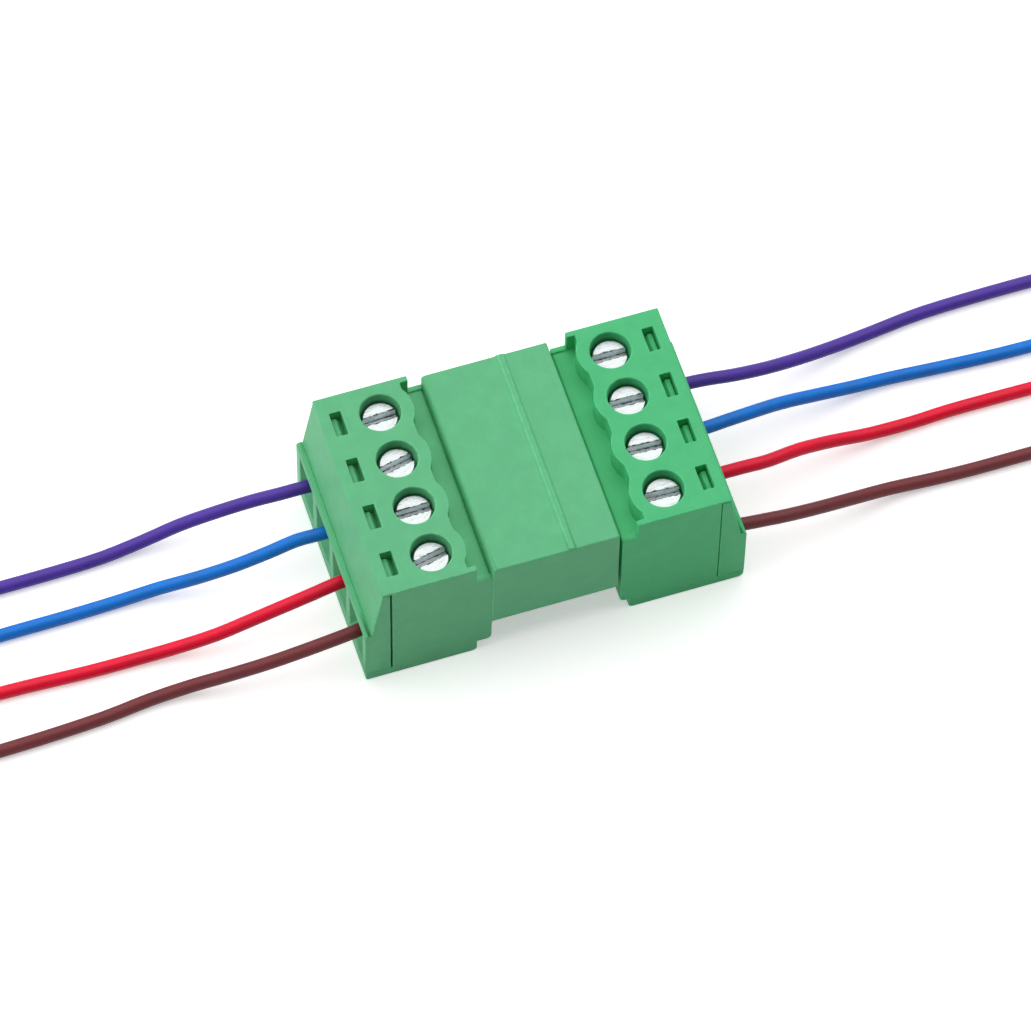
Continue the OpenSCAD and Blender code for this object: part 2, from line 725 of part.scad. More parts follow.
// Slotted cheese-head screw with a chamfered head and a chamfered tip
module screw(y, turn) {
    top = body_h - head_drop;
    color(zinc)
        translate([0, y, 0])
            rotate([0, 0, turn])
                difference() {
                    rotate_extrude()
                        polygon([
                            [0, screw_tip_z], [thread_d / 2 - tip_chamfer, screw_tip_z],
                            [thread_d / 2, screw_tip_z + tip_chamfer], [thread_d / 2, head_z],
                            [head_d / 2, head_z], [head_d / 2, top - head_chamfer],
                            [head_d / 2 - head_chamfer, top], [0, top]
                        ]);
                    translate([-head_d, -slot_w / 2, top - slot_d])
                        cube([2 * head_d, slot_w, slot_d + past]);
                }
}

// Stripped copper from the end of the insulation into the clamp
module stripped_copper(y) {
    color(copper)
        translate([insulation_reach - bare_l, y, wire_z])
            rotate([0, 90, 0])
                cylinder(d = copper_d, h = bare_l, $fn = 32);
}

// ---------- wires ----------

function unit(v) = v / norm(v);
function heading(p, i) = unit(p[min(i + 1, len(p) - 1)] - p[max(i - 1, 0)]);
function ring(p, i, d, n) =
    let (t = i == 0 ? [1, 0, 0] : heading(p, i))
    let (side = unit(cross([0, 0, 1], t)))
    let (up = cross(t, side))
    [for (k = [0 : n - 1]) p[i] + d / 2 * (cos((k + 0.5) * 360 / n) * side + sin((k + 0.5) * 360 / n) * up)];

// Tube with flat ends along a route
module tube(p, d, n = 8) {
    last = len(p) - 1;
    points = [for (i = [0 : last]) each ring(p, i, d, n)];
    walls = [for (i = [0 : last - 1], k = [0 : n - 1])
        [i * n + k, i * n + (k + 1) % n, (i + 1) * n + (k + 1) % n, (i + 1) * n + k]];
    near = [for (k = [n - 1 : -1 : 0]) k];
    far = [for (k = [0 : n - 1]) last * n + k];
    polyhedron(points, concat(walls, [near, far]));
}

module header_wire(i) {
    color(wire_colours[i])
        in_header()
            tube(header_routes[i], wire_d);
}

module plug_wire(i) {
    color(wire_colours[i])
        in_plug()
            tube(plug_routes[i], wire_d);
}

// ---------- nodes ----------

module header_contact_purple() { header_contact(0); }
module header_contact_blue() { header_contact(1); }
module header_contact_red() { header_contact(2); }
module header_contact_brown() { header_contact(3); }
module header_cage_purple() { in_header() cage(pole_y[0]); }
module header_cage_blue() { in_header() cage(pole_y[1]); }
module header_cage_red() { in_header() cage(pole_y[2]); }
module header_cage_brown() { in_header() cage(pole_y[3]); }
module header_screw_purple() { in_header() screw(pole_y[0], -header_slot_turn[0]); }
module header_screw_blue() { in_header() screw(pole_y[1], -header_slot_turn[1]); }
module header_screw_red() { in_header() screw(pole_y[2], -header_slot_turn[2]); }
module header_screw_brown() { in_header() screw(pole_y[3], -header_slot_turn[3]); }
module header_copper_purple() { in_header() stripped_copper(pole_y[0]); }
module header_copper_blue() { in_header() stripped_copper(pole_y[1]); }
module header_copper_red() { in_header() stripped_copper(pole_y[2]); }
module header_copper_brown() { in_header() stripped_copper(pole_y[3]); }
module header_wire_purple() { header_wire(0); }
module header_wire_blue() { header_wire(1); }
module header_wire_red() { header_wire(2); }
module header_wire_brown() { header_wire(3); }
module plug_contact_purple() { plug_contact(0); }
module plug_contact_blue() { plug_contact(1); }
module plug_contact_red() { plug_contact(2); }
module plug_contact_brown() { plug_contact(3); }
module plug_cage_purple() { in_plug() cage(pole_y[0]); }
module plug_cage_blue() { in_plug() cage(pole_y[1]); }
module plug_cage_red() { in_plug() cage(pole_y[2]); }
module plug_cage_brown() { in_plug() cage(pole_y[3]); }
module plug_screw_purple() { in_plug() screw(pole_y[0], plug_slot_turn[0]); }
module plug_screw_blue() { in_plug() screw(pole_y[1], plug_slot_turn[1]); }
module plug_screw_red() { in_plug() screw(pole_y[2], plug_slot_turn[2]); }
module plug_screw_brown() { in_plug() screw(pole_y[3], plug_slot_turn[3]); }
module plug_copper_purple() { in_plug() stripped_copper(pole_y[0]); }
module plug_copper_blue() { in_plug() stripped_copper(pole_y[1]); }
module plug_copper_red() { in_plug() stripped_copper(pole_y[2]); }
module plug_copper_brown() { in_plug() stripped_copper(pole_y[3]); }
module plug_wire_purple() { plug_wire(0); }
module plug_wire_blue() { plug_wire(1); }
module plug_wire_red() { plug_wire(2); }
module plug_wire_brown() { plug_wire(3); }

header_housing();
header_wire_cap();
header_contact_purple();
header_contact_blue();
header_contact_red();
header_contact_brown();
header_cage_purple();
header_cage_blue();
header_cage_red();
header_cage_brown();
header_screw_purple();
header_screw_blue();
header_screw_red();
header_screw_brown();
header_copper_purple();
header_copper_blue();
header_copper_red();
header_copper_brown();
header_wire_purple();
header_wire_blue();
header_wire_red();
header_wire_brown();
plug_housing();
plug_wire_cap();
plug_contact_purple();
plug_contact_blue();
plug_contact_red();
plug_contact_brown();
plug_cage_purple();
plug_cage_blue();
plug_cage_red();
plug_cage_brown();
plug_screw_purple();
plug_screw_blue();
plug_screw_red();
plug_screw_brown();
plug_copper_purple();
plug_copper_blue();
plug_copper_red();
plug_copper_brown();
plug_wire_purple();
plug_wire_blue();
plug_wire_red();
plug_wire_brown();
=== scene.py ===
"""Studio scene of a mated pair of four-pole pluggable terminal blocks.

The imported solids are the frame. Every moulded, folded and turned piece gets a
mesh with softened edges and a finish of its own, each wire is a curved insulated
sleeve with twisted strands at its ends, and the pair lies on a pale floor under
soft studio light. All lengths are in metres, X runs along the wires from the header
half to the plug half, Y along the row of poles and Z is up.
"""

import logging
import math
from dataclasses import dataclass, field
from enum import Enum

import bmesh
import bpy
from mathutils import Euler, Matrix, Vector


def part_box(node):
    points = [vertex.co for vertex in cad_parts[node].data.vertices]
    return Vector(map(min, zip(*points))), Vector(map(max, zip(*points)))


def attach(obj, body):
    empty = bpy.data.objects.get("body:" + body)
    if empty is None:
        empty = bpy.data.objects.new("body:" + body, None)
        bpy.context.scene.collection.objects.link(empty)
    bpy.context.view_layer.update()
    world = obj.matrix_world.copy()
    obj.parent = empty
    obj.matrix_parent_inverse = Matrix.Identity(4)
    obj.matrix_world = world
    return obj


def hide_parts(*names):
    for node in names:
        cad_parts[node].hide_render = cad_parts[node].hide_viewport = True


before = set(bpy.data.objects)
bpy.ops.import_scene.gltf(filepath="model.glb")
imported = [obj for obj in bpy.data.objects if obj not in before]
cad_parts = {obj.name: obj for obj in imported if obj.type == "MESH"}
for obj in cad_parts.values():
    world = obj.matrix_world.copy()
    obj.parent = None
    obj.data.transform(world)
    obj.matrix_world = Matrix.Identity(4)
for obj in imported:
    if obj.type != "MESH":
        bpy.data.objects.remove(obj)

MM = 0.001
RIM = "rim"
SCREW_MAP = "screw_map"
WHITE = (1.0, 1.0, 1.0)
log = logging.getLogger("terminal_block")

Colour = tuple[float, float, float]
Rgba = tuple[float, float, float, float]
Point = tuple[float, float, float]
Span = tuple[float, float]
Signal = bpy.types.NodeSocket

# Slope below which a face counts as upright.
UPRIGHT = 0.01

# Colour sockets of a Mix node, which gives one name to the sockets of all its types.
MIX_FIRST = 6
MIX_SECOND = 7
MIX_RESULT = 2


class Half(Enum):
    """The two mating halves, each with the name of its body."""

    HEADER = "header"
    PLUG = "plug"

    @property
    def outward(self) -> float:
        """Sign of X towards this half's wires."""
        return -1.0 if self is Half.HEADER else 1.0


class Pole(Enum):
    """The four poles from back to front, named after their wires."""

    PURPLE = "purple"
    BLUE = "blue"
    RED = "red"
    BROWN = "brown"


class Slot(Enum):
    """Material slots of the record."""

    HEADER_PLASTIC = "header_plastic"
    PLUG_PLASTIC = "plug_plastic"
    SCREW_ZINC = "screw_zinc"
    CAGE_STEEL = "cage_steel"
    CONTACT_TIN = "contact_tin"
    COPPER = "copper"
    WIRE_PURPLE = "wire_purple"
    WIRE_BLUE = "wire_blue"
    WIRE_RED = "wire_red"
    WIRE_BROWN = "wire_brown"

    @classmethod
    def plastic(cls, half: Half) -> "Slot":
        """Returns the slot of a half's mouldings."""
        return cls(f"{half.value}_plastic")

    @classmethod
    def wire(cls, pole: Pole) -> "Slot":
        """Returns the slot of a pole's insulation."""
        return cls(f"wire_{pole.value}")


class Socket(Enum):
    """Inputs of the Principled shader that the finishes set."""

    COLOUR = "Base Color"
    METALLIC = "Metallic"
    ROUGHNESS = "Roughness"
    NORMAL = "Normal"
    SPECULAR = "Specular IOR Level"
    SUBSURFACE = "Subsurface Weight"
    SUBSURFACE_RADIUS = "Subsurface Radius"
    SUBSURFACE_SCALE = "Subsurface Scale"
    GLOW = "Emission Strength"
    GLOW_COLOUR = "Emission Color"


class Maths(Enum):
    """Operations of a maths node."""

    ADD = "ADD"
    SUBTRACT = "SUBTRACT"
    MULTIPLY = "MULTIPLY"
    DIVIDE = "DIVIDE"
    LARGER = "MAXIMUM"
    SIZE = "ABSOLUTE"
    SIGN = "SIGN"
    WHOLE = "FLOOR"
    ROOT = "SQRT"
    SINE = "SINE"
    BELOW = "LESS_THAN"


@dataclass(frozen=True)
class Grain:
    """Even fractal noise.

    Attributes:
        size: Size of a grain in metres.
        octaves: Octaves of finer grain.
        lift: Roughness of the fractal.
    """

    size: float
    octaves: float = 3.0
    lift: float = 0.5


@dataclass(frozen=True)
class Streak:
    """Fractal noise that is drawn out one way.

    Attributes:
        along: Grains in a unit of length along the streaks.
        across: Grains in a unit of length across them.
        octaves: Octaves of finer grain.
        lift: Roughness of the fractal.
    """

    along: float
    across: float
    octaves: float = 3.0
    lift: float = 0.5


@dataclass(frozen=True)
class Ramp:
    """Straight ramp, which is low up to start and high from end on."""

    low: float
    high: float
    start: float = 0.3
    end: float = 0.7


FULL = Ramp(0.0, 1.0)


def from_display(red: int, green: int, blue: int) -> Colour:
    """Turns a display colour into the linear colour that a shader takes.

    Args:
        red: Red from 0 to 255.
        green: Green from 0 to 255.
        blue: Blue from 0 to 255.

    Returns:
        The same colour in linear light.
    """

    def linear(value: int) -> float:
        """Undoes the standard display curve for one channel."""
        v = value / 255
        return v / 12.92 if v <= 0.04045 else ((v + 0.055) / 1.055) ** 2.4

    return linear(red), linear(green), linear(blue)


def scaled(colour: Colour, factor: float = 1.0) -> Rgba:
    """Returns a colour times a factor, kept in range, with full alpha."""
    return (*(min(1.0, max(0.0, channel * factor)) for channel in colour), 1.0)


def link_new(name: str, data: bpy.types.ID) -> bpy.types.Object:
    """Makes an object and links it to the scene.

    Args:
        name: Name of the object.
        data: Its mesh, curve, camera or light.

    Returns:
        The object.
    """
    made = bpy.data.objects.new(name, data)
    bpy.context.scene.collection.objects.link(made)
    return made


class NodeSheet:
    """Node tree, with short calls for the nodes that finishes and surroundings share."""

    def __init__(self, tree: bpy.types.NodeTree) -> None:
        """Keeps the nodes and links of a tree."""
        self.nodes = tree.nodes
        self.links = tree.links

    def math(self, kind: Maths, *values: float | Signal) -> Signal:
        """Adds a maths node.

        Args:
            kind: Operation.
            values: Numbers or outputs of other nodes, in order.

        Returns:
            The node's output.
        """
        node = self.nodes.new("ShaderNodeMath")
        node.operation = kind.value
        for slot, value in zip(node.inputs, values):
            if isinstance(value, Signal):
                self.links.new(value, slot)
            else:
                slot.default_value = value
        return node.outputs[0]

    def blend(self, factor: Signal, first: Rgba | Signal, second: Rgba | Signal) -> Signal:
        """Mixes two colours.

        Args:
            factor: Share of the second colour.
            first: Colour or node output at 0.
            second: Colour or node output at 1.

        Returns:
            The mixed colour.
        """
        node = self.nodes.new("ShaderNodeMix")
        node.data_type = "RGBA"
        self.links.new(factor, node.inputs["Factor"])
        for slot, value in ((node.inputs[MIX_FIRST], first), (node.inputs[MIX_SECOND], second)):
            if isinstance(value, Signal):
                self.links.new(value, slot)
            else:
                slot.default_value = value
        return node.outputs[MIX_RESULT]

    def seen_ray(self) -> Signal:
        """Tells the rays that show the surroundings from those that light the object.

        Returns:
            1 for a camera, glossy or transmission ray, and 0 for any other.
        """
        path = self.nodes.new("ShaderNodeLightPath")
        seen = path.outputs["Is Camera Ray"]
        for name in ("Is Glossy Ray", "Is Transmission Ray"):
            seen = self.math(Maths.LARGER, seen, path.outputs[name])
        return seen


class ShaderSheet(NodeSheet):
    """Node tree of one material, with short calls for the nodes that the finishes use."""

    def __init__(self, name: str) -> None:
        """Makes the material and its shader.

        Args:
            name: Name of the material.
        """
        self.material = bpy.data.materials.new(name)
        self.material.use_nodes = True
        super().__init__(self.material.node_tree)
        self.shader = self.nodes["Principled BSDF"]
        self.place = self.nodes.new("ShaderNodeTexCoord").outputs["Object"]

    def set(self, socket: Socket, value: float | Colour | Rgba) -> None:
        """Sets one input of the shader to a constant."""
        self.shader.inputs[socket.value].default_value = value

    def link(self, source: Signal, socket: Socket) -> None:
        """Feeds one input of the shader from a node."""
        self.links.new(source, self.shader.inputs[socket.value])

    def mesh_data(self, name: str) -> bpy.types.Node:
        """Adds a node that reads what a mesh holds.

        Args:
            name: Name under which the mesh holds it.

        Returns:
            The node.
        """
        node = self.nodes.new("ShaderNodeAttribute")
        node.attribute_name = name
        return node

    def stretched(self, place: Signal, scale: Point) -> Signal:
        """Scales coordinates along each axis.

        Args:
            place: Coordinates.
            scale: Factor along X, Y and Z.

        Returns:
            The scaled coordinates.
        """
        node = self.nodes.new("ShaderNodeMapping")
        node.inputs["Scale"].default_value = scale
        self.links.new(place, node.inputs["Vector"])
        return node.outputs["Vector"]

    def fractal(self, place: Signal, scale: float, octaves: float, lift: float) -> Signal:
        """Adds fractal noise.

        Args:
            place: Coordinates.
            scale: Grains in a unit of the coordinates.
            octaves: Octaves of finer grain.
            lift: Roughness of the fractal.

        Returns:
            The noise, from 0 to 1.
        """
        node = self.nodes.new("ShaderNodeTexNoise")
        for name, value in (("Scale", scale), ("Detail", octaves), ("Roughness", lift)):
            node.inputs[name].default_value = value
        self.links.new(place, node.inputs["Vector"])
        return node.outputs["Fac"]

    def noise(self, grain: Grain) -> Signal:
        """Adds even noise on the piece's own coordinates, from 0 to 1."""
        return self.fractal(self.place, 1 / grain.size, grain.octaves, grain.lift)

    def streaks(self, streak: Streak) -> Signal:
        """Adds noise drawn out along X, in metres, from 0 to 1."""
        place = self.stretched(self.place, (streak.along, streak.across, streak.across))
        return self.fractal(place, 1.0, streak.octaves, streak.lift)

    def spread(self, source: Signal, ramp: Ramp) -> Signal:
        """Maps a value along a ramp.

        Args:
            source: Value to map.
            ramp: The ramp.

        Returns:
            The mapped value.
        """
        node = self.nodes.new("ShaderNodeMapRange")
        node.inputs["From Min"].default_value = ramp.start
        node.inputs["From Max"].default_value = ramp.end
        node.inputs["To Min"].default_value = ramp.low
        node.inputs["To Max"].default_value = ramp.high
        self.links.new(source, node.inputs["Value"])
        return node.outputs["Result"]

    def shaded(self, factor: Signal, colour: Colour, shades: Span) -> Signal:
        """Blends two shades of one colour.

        Args:
            factor: Share of the second shade.
            colour: The colour.
            shades: Its factor at 0 and at 1.

        Returns:
            The blended colour.
        """
        first, second = (scaled(colour, shade) for shade in shades)
        return self.blend(factor, first, second)

    def bump(self, height: Signal, depth: float, under: Signal | None = None) -> Signal:
        """Turns a height into a surface normal.

        Args:
            height: Height from 0 to 1.
            depth: Depth in metres of a height of 1.
            under: Normal of a coarser bump that this one lies on.

        Returns:
            The normal.
        """
        node = self.nodes.new("ShaderNodeBump")
        node.inputs["Distance"].default_value = depth
        self.links.new(height, node.inputs["Height"])
        if under is not None:
            self.links.new(under, node.inputs["Normal"])
        return node.outputs["Normal"]

    def let_light_in(self, share: float, tint: Colour, reach: float) -> None:
        """Sets how light spreads under the surface.

        Args:
            share: Share of the light that enters.
            tint: How far each colour goes, as a share of the reach.
            reach: Farthest distance in metres.
        """
        self.set(Socket.SUBSURFACE, share)
        self.set(Socket.SUBSURFACE_RADIUS, tint)
        self.set(Socket.SUBSURFACE_SCALE, reach)


@dataclass(frozen=True)
class MouldedPolyamide:
    """Satin plastic straight from a spark-eroded mould."""

    name: str
    colour: Colour
    roughness: float = 0.5
    roughness_swing: Span = (-0.05, 0.07)
    specular: float = 0.2
    fine: Grain = Grain(0.09 * MM, lift=0.6)
    fine_depth: float = 0.004 * MM
    flow: Grain = Grain(1.6 * MM)
    flow_depth: float = 0.012 * MM
    flow_shades: Span = (0.955, 1.035)
    fleck: Grain = Grain(0.35 * MM, 2.0)
    fleck_share: Ramp = Ramp(0.0, 0.10, 0.45, 0.8)
    fleck_lift: float = 1.3
    # Painted highlight on the outstanding rounded edges: the noise that breaks it into patches, and how
    # much paler it is.
    highlight_breakup: Grain = Grain(0.7 * MM)
    highlight_breakup_share: Ramp = Ramp(0.15, 1.0, 0.38, 0.6)
    rim_highlight_lift: float = 1.22
    inner_share: float = 0.12
    inner_tint: Colour = (0.6, 1.0, 0.7)
    inner_reach: float = 0.35 * MM

    def coloured(self, sheet: ShaderSheet, flow: Signal) -> Signal:
        """Draws the pigment, with flow marks, flecks and a painted highlight on the outstanding rounded
        edges.

        Args:
            sheet: The material's sheet.
            flow: Noise of the flow marks.

        Returns:
            The colour.
        """
        body = sheet.shaded(sheet.spread(flow, FULL), self.colour, self.flow_shades)
        fleck = sheet.spread(sheet.noise(self.fleck), self.fleck_share)
        flecked = sheet.blend(fleck, body, scaled(self.colour, self.fleck_lift))
        # Painted highlight: the outstanding rounded edges are drawn paler, in broken patches.
        highlight_breakup = sheet.spread(sheet.noise(self.highlight_breakup), self.highlight_breakup_share)
        rim = sheet.math(Maths.MULTIPLY, sheet.mesh_data(RIM).outputs["Fac"], highlight_breakup)
        return sheet.blend(rim, flecked, scaled(self.colour, self.rim_highlight_lift))

    def material(self) -> bpy.types.Material:
        """Builds the plastic, with its pigment, faint flow marks and fine grain.

        Returns:
            The material.
        """
        sheet = ShaderSheet(self.name)
        flow = sheet.noise(self.flow)
        fine = sheet.noise(self.fine)
        sheet.link(self.coloured(sheet, flow), Socket.COLOUR)
        smooth, rough = (self.roughness + swing for swing in self.roughness_swing)
        sheet.link(sheet.spread(fine, Ramp(smooth, rough)), Socket.ROUGHNESS)
        waves = sheet.bump(flow, self.flow_depth)
        sheet.link(sheet.bump(fine, self.fine_depth, waves), Socket.NORMAL)
        sheet.set(Socket.SPECULAR, self.specular)
        sheet.let_light_in(self.inner_share, self.inner_tint, self.inner_reach)
        return sheet.material


class ScrewSheet(ShaderSheet):
    """Node tree of the screws' plating, drawn on each screw's own map in millimetres."""

    ROW_SHIFT = 7.3

    def __init__(self, name: str, pitch: float) -> None:
        """Makes the material and splits up the map.

        Args:
            name: Name of the material.
            pitch: Distance between two screws of a row.
        """
        super().__init__(name)
        marks = self.nodes.new("ShaderNodeSeparateXYZ")
        self.links.new(self.mesh_data(SCREW_MAP).outputs["Vector"], marks.inputs["Vector"])
        self.along, self.across, self.sawn = marks.outputs
        spot = self.nodes.new("ShaderNodeSeparateXYZ")
        self.links.new(self.place, spot.inputs["Vector"])
        row = self.math(Maths.WHOLE, self.math(Maths.DIVIDE, spot.outputs["Y"], pitch))
        side = self.math(Maths.SIGN, spot.outputs["X"])
        own = self.nodes.new("ShaderNodeCombineXYZ")
        self.links.new(self.along, own.inputs["X"])
        self.links.new(self.across, own.inputs["Y"])
        shift = self.math(Maths.ADD, self.math(Maths.MULTIPLY, row, self.ROW_SHIFT), side)
        self.links.new(shift, own.inputs["Z"])
        self.own = own.outputs["Vector"]

    def streaks(self, streak: Streak) -> Signal:
        """Adds noise drawn out along the slot, which differs from screw to screw."""
        place = self.stretched(self.own, (streak.along, streak.across, 1.0))
        return self.fractal(place, 1.0, streak.octaves, streak.lift)


@dataclass(frozen=True)
class TurnedZinc:
    """Bright zinc plating over a turned head, marked by its cutter and by screwdrivers.

    The slot's half width and the rings' spacing are in millimetres, as the
    screws' maps are.
    """

    name: str
    pitch: float
    slot_half: float
    colour: Colour = (0.36, 0.395, 0.395)
    gloss: Ramp = Ramp(0.2, 0.42)
    ring: float = 0.07
    ring_depth: float = 0.0015 * MM
    wobble: Streak = Streak(1.6, 1.6, 1.0)
    wobble_reach: Ramp = Ramp(0.0, 0.12)
    burr: Streak = Streak(1.9, 6.0, lift=0.7)
    burr_reach: Ramp = Ramp(0.0, 0.16, 0.36, 0.68)
    tear: Streak = Streak(2.2, 13.0, lift=0.65)
    tear_share: Ramp = Ramp(0.0, 1.0, 0.44, 0.53)
    tear_shade: float = 0.1
    tear_depth: float = 0.03 * MM
    scratch: Streak = Streak(0.9, 10.0, lift=0.7)
    scratch_share: Ramp = Ramp(0.0, 0.6, 0.58, 0.72)
    scratch_shade: float = 0.35
    scratch_depth: float = 0.01 * MM
    stain: Streak = Streak(1.8, 1.8)
    stain_share: Ramp = Ramp(0.0, 0.3, 0.5, 0.8)
    stain_shade: float = 0.7
    sawn_colour: Colour = (0.9, 0.95, 1.0)
    saw_mark: Streak = Streak(0.7, 8.0, lift=0.65)
    saw_mark_share: Ramp = Ramp(0.0, 1.0, 0.42, 0.56)
    sawn_dullness: float = 0.25
    sawn_plating_loss: float = 0.8

    def tears(self, sheet: ScrewSheet) -> Signal:
        """Draws the torn plating along both edges of the slot.

        Args:
            sheet: The material's sheet.

        Returns:
            1 on a tear and 0 elsewhere.
        """
        from_edge = sheet.math(Maths.SUBTRACT, sheet.math(Maths.SIZE, sheet.across), self.slot_half)
        reach = sheet.spread(sheet.streaks(self.burr), self.burr_reach)
        inside = sheet.math(Maths.BELOW, sheet.math(Maths.SIZE, from_edge), reach)
        broken = sheet.spread(sheet.streaks(self.tear), self.tear_share)
        return sheet.math(Maths.MULTIPLY, inside, broken)

    def turned_rings(self, sheet: ScrewSheet) -> Signal:
        """Draws the cutter's rings round the screw's axis.

        Args:
            sheet: The material's sheet.

        Returns:
            Their height, from 0 to 1.
        """
        squares = [sheet.math(Maths.MULTIPLY, part, part) for part in (sheet.along, sheet.across)]
        distance = sheet.math(Maths.ROOT, sheet.math(Maths.ADD, *squares))
        wobble = sheet.spread(sheet.streaks(self.wobble), self.wobble_reach)
        radius = sheet.math(Maths.ADD, distance, wobble)
        wave = sheet.math(Maths.SINE, sheet.math(Maths.MULTIPLY, radius, math.tau / self.ring))
        return sheet.math(Maths.ADD, sheet.math(Maths.MULTIPLY, wave, 0.5), 0.5)

    def coloured(self, sheet: ScrewSheet, scratches: Signal, tears: Signal) -> Signal:
        """Draws the plating with its stains, slot walls, scratches and tears.

        Args:
            sheet: The material's sheet.
            scratches: Noise of the scratches.
            tears: 1 on a tear.

        Returns:
            The colour.
        """
        stain = sheet.spread(sheet.streaks(self.stain), self.stain_share)
        plate = sheet.shaded(stain, self.colour, (1.0, self.stain_shade))
        walls = sheet.blend(sheet.sawn, plate, scaled(self.sawn_colour))
        lines = sheet.spread(scratches, self.scratch_share)
        scratched = sheet.blend(lines, walls, scaled(self.colour, self.scratch_shade))
        return sheet.blend(tears, scratched, scaled(self.colour, self.tear_shade))

    def material(self) -> bpy.types.Material:
        """Builds the plating, with turning rings, streaked slot walls, tears and a few stains.

        Returns:
            The material.
        """
        sheet = ScrewSheet(self.name, self.pitch)
        scratches = sheet.streaks(self.scratch)
        tears = self.tears(sheet)
        sheet.link(self.coloured(sheet, scratches, tears), Socket.COLOUR)
        marks = sheet.spread(sheet.streaks(self.saw_mark), self.saw_mark_share)
        bare = sheet.math(Maths.MULTIPLY, sheet.sawn, marks)
        dull = sheet.math(Maths.MULTIPLY, bare, self.sawn_dullness)
        roughness = sheet.math(Maths.ADD, sheet.spread(scratches, self.gloss), dull)
        sheet.link(roughness, Socket.ROUGHNESS)
        turned = sheet.bump(self.turned_rings(sheet), self.ring_depth)
        scored = sheet.bump(scratches, self.scratch_depth, turned)
        sheet.link(sheet.bump(tears, self.tear_depth, scored), Socket.NORMAL)
        loss = sheet.math(Maths.MULTIPLY, bare, self.sawn_plating_loss)
        sheet.link(sheet.math(Maths.SUBTRACT, 1.0, loss), Socket.METALLIC)
        return sheet.material


@dataclass(frozen=True)
class PlatedStrip:
    """Rolled and plated strip, with the grain of the rolls along the wires."""

    name: str
    colour: Colour
    roughness: float = 0.32
    rolled: Streak = Streak(700.0, 9000.0, 2.0)
    rolled_depth: float = 0.003 * MM
    patch: Grain = Grain(0.8 * MM)
    patch_shades: Span = (0.82, 1.05)
    patch_dullness: float = 0.12

    def material(self) -> bpy.types.Material:
        """Builds the plating, with rolling lines and duller patches.

        Returns:
            The material.
        """
        sheet = ShaderSheet(self.name)
        patch = sheet.spread(sheet.noise(self.patch), FULL)
        sheet.link(sheet.shaded(patch, self.colour, self.patch_shades), Socket.COLOUR)
        gloss = Ramp(self.roughness + self.patch_dullness, self.roughness)
        sheet.link(sheet.spread(patch, gloss), Socket.ROUGHNESS)
        sheet.link(sheet.bump(sheet.streaks(self.rolled), self.rolled_depth), Socket.NORMAL)
        sheet.set(Socket.METALLIC, 1.0)
        return sheet.material


@dataclass(frozen=True)
class VinylSleeve:
    """Extruded vinyl insulation, smooth with a soft gloss."""

    name: str
    colour: Colour
    roughness: float = 0.36
    roughness_swing: Span = (-0.06, 0.1)
    specular: float = 0.26
    die_line: Streak = Streak(260.0, 5200.0, 2.0)
    die_line_depth: float = 0.01 * MM
    patch: Grain = Grain(2.2 * MM)
    patch_shades: Span = (0.9, 1.1)
    inner_share: float = 0.06
    inner_tint: Colour = (1.0, 0.8, 0.8)
    inner_reach: float = 0.3 * MM

    def material(self) -> bpy.types.Material:
        """Builds the vinyl, with die lines along the wire and slight dull patches.

        Returns:
            The material.
        """
        sheet = ShaderSheet(self.name)
        patch = sheet.noise(self.patch)
        tone = sheet.spread(patch, FULL)
        sheet.link(sheet.shaded(tone, self.colour, self.patch_shades), Socket.COLOUR)
        smooth, rough = (self.roughness + swing for swing in self.roughness_swing)
        sheet.link(sheet.spread(patch, Ramp(smooth, rough)), Socket.ROUGHNESS)
        sheet.link(sheet.bump(sheet.streaks(self.die_line), self.die_line_depth), Socket.NORMAL)
        sheet.set(Socket.SPECULAR, self.specular)
        sheet.let_light_in(self.inner_share, self.inner_tint, self.inner_reach)
        return sheet.material


@dataclass(frozen=True)
class DrawnCopper:
    """Fine drawn copper strand, slightly tarnished."""

    name: str
    colour: Colour
    gloss: Ramp = Ramp(0.26, 0.42)
    tarnish: Grain = Grain(0.5 * MM)
    tarnish_shades: Span = (0.7, 1.1)

    def material(self) -> bpy.types.Material:
        """Builds the copper, brighter and darker along each strand.

        Returns:
            The material.
        """
        sheet = ShaderSheet(self.name)
        tarnish = sheet.noise(self.tarnish)
        tone = sheet.spread(tarnish, FULL)
        sheet.link(sheet.shaded(tone, self.colour, self.tarnish_shades), Socket.COLOUR)
        sheet.link(sheet.spread(tarnish, self.gloss), Socket.ROUGHNESS)
        sheet.set(Socket.METALLIC, 1.0)
        return sheet.material


